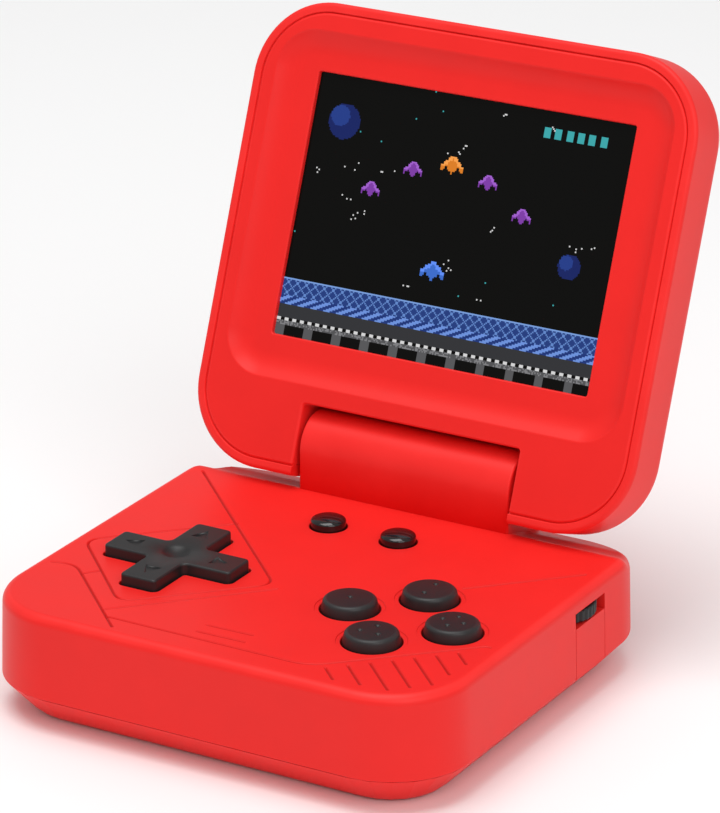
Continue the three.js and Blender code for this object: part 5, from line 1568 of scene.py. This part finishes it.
@dataclass
class Keys(Assembly):
    """The keys on the deck and the controls in the walls."""

    pad: tuple[float, float] = LAYOUT.pad
    pad_top: float = 22.35
    pad_low: float = 16.6
    pad_flange: tuple[float, float, float] = (13.2, 16.2, 17.2)
    edge: float = 0.4
    dimple: tuple[float, float] = (2.6, 0.85)
    mark: tuple[float, float, float] = (7.0, 10.0, 1.6)
    mark_depth: float = 0.3
    mark_slope: float = 0.16
    key_radius: float = 4.8
    key_top: float = 22.3
    key_slant: float = 0.3
    key_edge: float = 0.75
    key_crown: float = 0.18
    key_flange: float = 0.8
    flange_top: float = 18.4
    flange_low: float = 17.2
    dot: float = 0.6
    dot_ring: float = 1.9
    flange_edge: float = 0.15
    pinhole: float = 0.01
    dome_radius: float = 3.0
    dome_flange: float = 0.6
    deck: float = LAYOUT.deck
    dome_side: float = 0.95
    dome_rise: float = 1.85
    wheel: tuple[float, float, float] = (36.35, 15.0, 6.6)
    wheel_low: float = 15.23
    wheel_high: float = 17.23
    knurls: int = 36
    knurl_depth: float = 0.3
    knurl_reach: float = 1.2
    wheel_edge: float = 0.25
    wheel_width: float = 1.3
    slider: tuple[float, float] = (6.7, 16.45)
    slider_half: tuple[float, float] = (2.5, 1.0)
    slider_corner: float = 0.35
    slider_edge: float = 0.2
    ridge_pitch: float = 0.8
    ridge_depth: float = 0.16
    ridge_half: float = 0.78
    ridged: float = 2.1
    ridge_fade: float = 0.3

    def build(self) -> None:
        """Builds every key."""
        self.build_pad()
        for dots, (name, x, y) in enumerate(LAYOUT.buttons, 1):
            self.build_round(name, (x, y), dots)
        for name, x, y in LAYOUT.domes:
            self.build_dome(name, (x, y))
        self.build_wheel()
        self.build_slider()

    def edge_profile(self, low: float, top: float, edge: float) -> Array:
        """A wall with a rounded upper edge.

        Args:
            low: Height of its foot.
            top: Height of the face that it leads to.
            edge: Radius of the edge.

        Returns:
            The profile, with its steering rows.
        """
        return np.concatenate([[[0, low - STEER], [0, low]], upper_edge(edge, top), [[edge + STEER, top]]])

    def flange(self, radius: float, low: float, high: float, centre: Sequence[float]) -> Patch:
        """A plain disc under a key.

        Args:
            radius: Its radius.
            low: Height of its underside.
            high: Height of its top.
            centre: Its middle.

        Returns:
            The patch, closed but for a pinhole in its middle.
        """
        e, middle = self.flange_edge, radius - self.pinhole
        rows = np.array([[middle, low], [middle, low], [e, low], [0, low + e],
                         [0, high - e], [e, high], [middle, high], [middle, high]])
        return sweep(Loop.circle(radius, centre), rows, upright)

    def build_pad(self) -> None:
        """Builds the cross pad: a round hollow in its middle and a cut triangle on each arm."""
        loop = moved(cross_outline(*LAYOUT.pad_cross), self.pad)
        radius, depth = self.dimple
        near, far, half = self.mark
        turns = [(1, 0), (0, 1), (-1, 0), (0, -1)]

        def top(u: Array, v: Array) -> Array:
            """The pad's top: level, less the parabolic hollow and the triangles."""
            x, y = u - self.pad[0], v - self.pad[1]
            away = np.hypot(x, y)
            z = self.pad_top - depth * np.clip(1 - (away / radius) ** 2, 0, 1)
            for c, s in turns:
                along, across = x * c + y * s, abs(y * c - x * s)
                slant = (half * (far - along) - (far - near) * across) / math.hypot(half, far - near)
                z = z - self.mark_depth * eased(np.minimum(along - near, slant) / self.mark_slope)
            return np.stack([u, v, z], axis=1)

        rails = [Loop.circle(r, self.pad, 40).closed() for r in radius * np.linspace(0.12, 1, 9)]
        for c, s in turns:
            for d in (0, 0.05, 0.1, self.mark_slope):
                tip = far - d * math.hypot(half, far - near) / half
                wide = half * (tip - near - d) / (far - near)
                corners = np.array([[near + d, -wide], [tip, 0], [near + d, wide], [near + d, -wide]])
                rails.append(np.asarray(self.pad) + np.stack(
                    [corners[:, 0] * c - corners[:, 1] * s, corners[:, 0] * s + corners[:, 1] * c], axis=1))
        self.add("pad_cross", [
            region(top, loop.ring(self.edge), (), rails),
            sweep(loop, self.edge_profile(self.pad_low, self.pad_top, self.edge), upright, wear=1.0),
            self.flange(*self.pad_flange, self.pad),
        ], Slot.key_plastic, "dpad", "dpad")

    def build_round(self, name: str, centre: tuple[float, float], dots: int) -> None:
        """Builds a round key with a number of small hollows on top.

        Args:
            name: Its place among the four.
            centre: Its middle.
            dots: How many hollows it has.
        """
        loop = Loop.circle(self.key_radius, centre, 64)
        angles = QUARTER + 2 * math.pi * np.arange(dots) / dots
        ring = self.dot_ring if dots > 1 else 0.0
        spots = np.asarray(centre) + ring * np.stack([np.cos(angles), np.sin(angles)], axis=1)

        def top(u: Array, v: Array) -> Array:
            """The key's top: a shallow parabolic crown, less the hollows."""
            points = np.stack([u, v], axis=1)
            away = np.linalg.norm(points - centre, axis=1) / self.key_radius
            z = self.key_top - self.key_crown * away ** 2
            for spot in spots:
                d = np.linalg.norm(points - spot, axis=1)
                z = z - self.mark_depth * (1 - eased(d / self.dot))
            return np.column_stack([points, z])

        rails = [Loop.circle(self.dot * k, spot, 20).closed() for spot in spots for k in (0.3, 0.6, 0.8, 1)]
        rails += [Loop.circle(self.key_radius * k, centre, 48).closed() for k in (0.5, 0.75)]
        inner = self.key_slant + self.key_edge
        lip = self.key_top - self.key_crown * (1 - inner / self.key_radius) ** 2
        wall = self.edge_profile(self.flange_low, lip, self.key_edge)
        wall[2:, 0] += self.key_slant
        wall = np.insert(wall, 2, [0, self.deck - self.key_slant], axis=0)
        self.add(f"round_key_{name}", [
            region(top, loop.ring(inner), (), rails),
            sweep(loop, wall, upright, wear=1.0),
            self.flange(self.key_radius + self.key_flange, self.flange_low, self.flange_top, centre),
        ], Slot.key_plastic, f"button_{name}", f"button_{name}")

    def build_dome(self, name: str, centre: tuple[float, float]) -> None:
        """Builds a small domed key: a short wall under a cap whose height is elliptical.

        Args:
            name: Its place of the two.
            centre: Its middle.
        """
        loop = Loop.circle(self.dome_radius, centre)
        side, rise = self.deck + self.dome_side, self.dome_rise - self.dome_side
        t = np.linspace(0, QUARTER - 0.002, 12)
        profile = np.concatenate([
            [[0, self.flange_low - STEER], [0, self.flange_low]],
            np.stack([self.dome_radius * (1 - np.cos(t)), side + rise * np.sin(t)], axis=1),
            [[self.dome_radius + STEER, side + rise]]])
        self.add(f"dome_key_{name}", [
            sweep(loop, profile, upright),
            self.flange(self.dome_radius + self.dome_flange, self.flange_low, self.flange_top, centre),
        ], Slot.gloss_key, f"{name}_button", f"{name}_button")

    def build_wheel(self) -> None:
        """Builds the wheel: its rim's radius dips between knurls as a flattened cosine."""
        x, y, radius = self.wheel
        low, high, edge = self.wheel_low, self.wheel_high, self.wheel_edge
        hub = radius - self.wheel_width
        profile = np.concatenate([[[hub, high], [hub, low]], lower_edge(edge, low, 4),
                                  upper_edge(edge, high, 4), [[hub, high], [hub, low]]])

        def shape(u: Array, v: Array) -> Array:
            """The profile's inset and height at v, at the angle u."""
            inset, z = profile_at(profile, v)
            wave = 0.5 - 0.5 * np.cos(self.knurls * u)
            dip = self.knurl_depth * wave ** 2 * np.clip(1 - inset / self.knurl_reach, 0, 1)
            reach = radius - inset - dip
            return np.stack([x + reach * np.cos(u), y + reach * np.sin(u), z], axis=1)

        us = np.linspace(0, 2 * math.pi, self.knurls * 8 + 1)
        self.add("wheel_knurled", [grid(shape, us, np.arange(1.0, len(profile)))], Slot.key_plastic,
                 "volume_wheel", "volume_wheel")

    def build_slider(self) -> None:
        """Builds the slide switch's cap: a block with a rounded edge and ridges across its face."""
        low, high = (np.array(c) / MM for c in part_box("power_slider"))
        middle, proud, inner = self.slider, -low[0], -high[0]
        loop = Loop.rounded(self.slider_half, self.slider_corner, (-middle[0], middle[1]), 5)

        def place(flat: Array, out: Array) -> Array:
            """Points of the left wall (along it, height) at a distance out of it."""
            return np.stack([-out, -flat[:, 0], flat[:, 1]], axis=1)

        def face(u: Array, v: Array) -> Array:
            """The cap's face: cosine ridges that fade towards its ends."""
            ridge = 0.5 - 0.5 * np.cos(2 * math.pi * (u + middle[0]) / self.ridge_pitch)
            fade = eased((self.ridged - abs(u + middle[0])) / self.ridge_fade)
            return place(np.stack([u, v], axis=1), proud - self.ridge_depth * ridge * fade)

        rails = [np.array([[u, middle[1] - self.ridge_half], [u, middle[1] + self.ridge_half]])
                 for u in -middle[0] + np.linspace(-2.2, 2.2, 45)]
        self.add("slide_switch_cap", [
            region(face, loop.ring(self.slider_edge), (), rails),
            sweep(loop, self.edge_profile(inner, proud, self.slider_edge), place, wear=1.0),
        ], Slot.key_plastic, "power_slider", "power_slider")


# --------------------------------------------------------------------- stage

@dataclass
class Stage:
    """Floor, lights and camera."""

    azimuth: float = math.radians(29.94)
    elevation: float = math.radians(21.446)
    distance: float = 0.7802
    aim: tuple[float, float] = (0.006715, 0.045144)
    aim_lift: float = 0.0005
    lens: float = 207.41
    sensor: float = 36.0
    world: float = 0.45
    floor_half: float = 4.0
    floor_tone: float = 0.97
    floor_roughness: float = 0.7
    lit: tuple[float, float, float] = (0, 0, 0.03)
    lamps: tuple[tuple[float, float, float, float, float], ...] = (
        (-0.1, -0.12, 1.3, 0.9, 10.0),
        (0.75, -0.55, 0.75, 0.7, 3.6),
    )

    def build(self) -> None:
        """Builds the stage."""
        scene = bpy.context.scene
        scene.view_settings.view_transform = "Standard"
        world = bpy.data.worlds.new("studio")
        world.use_nodes = True
        world.node_tree.nodes["Background"].inputs["Color"].default_value = (1, 1, 1, 1)
        world.node_tree.nodes["Background"].inputs["Strength"].default_value = self.world
        scene.world = world
        for k, (x, y, z, size, power) in enumerate(self.lamps):
            light = bpy.data.lights.new(f"softbox_{k}", "AREA")
            light.size, light.energy = size, power
            lamp = bpy.data.objects.new(light.name, light)
            lamp.location = (x, y, z)
            lamp.rotation_euler = (Vector(self.lit) - lamp.location).to_track_quat("-Z", "Y").to_euler()
            scene.collection.objects.link(lamp)
        self.build_floor()
        self.build_camera()

    def build_floor(self) -> None:
        """Lays the floor."""
        mesh = bpy.data.meshes.new("floor")
        r = self.floor_half
        mesh.from_pydata([(-r, -r, 0), (r, -r, 0), (r, r, 0), (-r, r, 0)], [], [(0, 1, 2, 3)])
        floor = bpy.data.objects.new("floor", mesh)
        paint = bpy.data.materials.new("pale floor")
        paint.use_nodes = True
        shader = paint.node_tree.nodes["Principled BSDF"]
        shader.inputs["Base Color"].default_value = (*[self.floor_tone] * 3, 1)
        shader.inputs["Roughness"].default_value = self.floor_roughness
        mesh.materials.append(paint)
        bpy.context.scene.collection.objects.link(floor)

    def build_camera(self) -> None:
        """Places the camera on a line out of the object at its azimuth and elevation."""
        a, e = self.azimuth, self.elevation
        back = Vector((math.sin(a) * math.cos(e), -math.cos(a) * math.cos(e), math.sin(e)))
        right = Vector((math.cos(a), math.sin(a), 0))
        up = back.cross(right)
        data = bpy.data.cameras.new("camera")
        data.lens, data.sensor_width, data.clip_start, data.clip_end = self.lens, self.sensor, 0.01, 20
        camera = bpy.data.objects.new("camera", data)
        camera.location = (right * self.aim[0] + up * self.aim[1] + back * self.distance
                           + Vector((0, 0, self.aim_lift)))
        camera.rotation_euler = back.to_track_quat("Z", "Y").to_euler()
        bpy.context.scene.collection.objects.link(camera)
        bpy.context.scene.camera = camera


def main() -> None:
    """Builds the assemblies in order, then the stage."""
    logging.basicConfig(level=logging.INFO, format="%(message)s")
    paints = Paintbox()
    paints.dress_frame()
    for assembly in (BaseCase(), Lid(), Keys()):
        assembly.build()
        assembly.dress(paints)
    Stage().build()


if __name__ == "__main__":
    main()
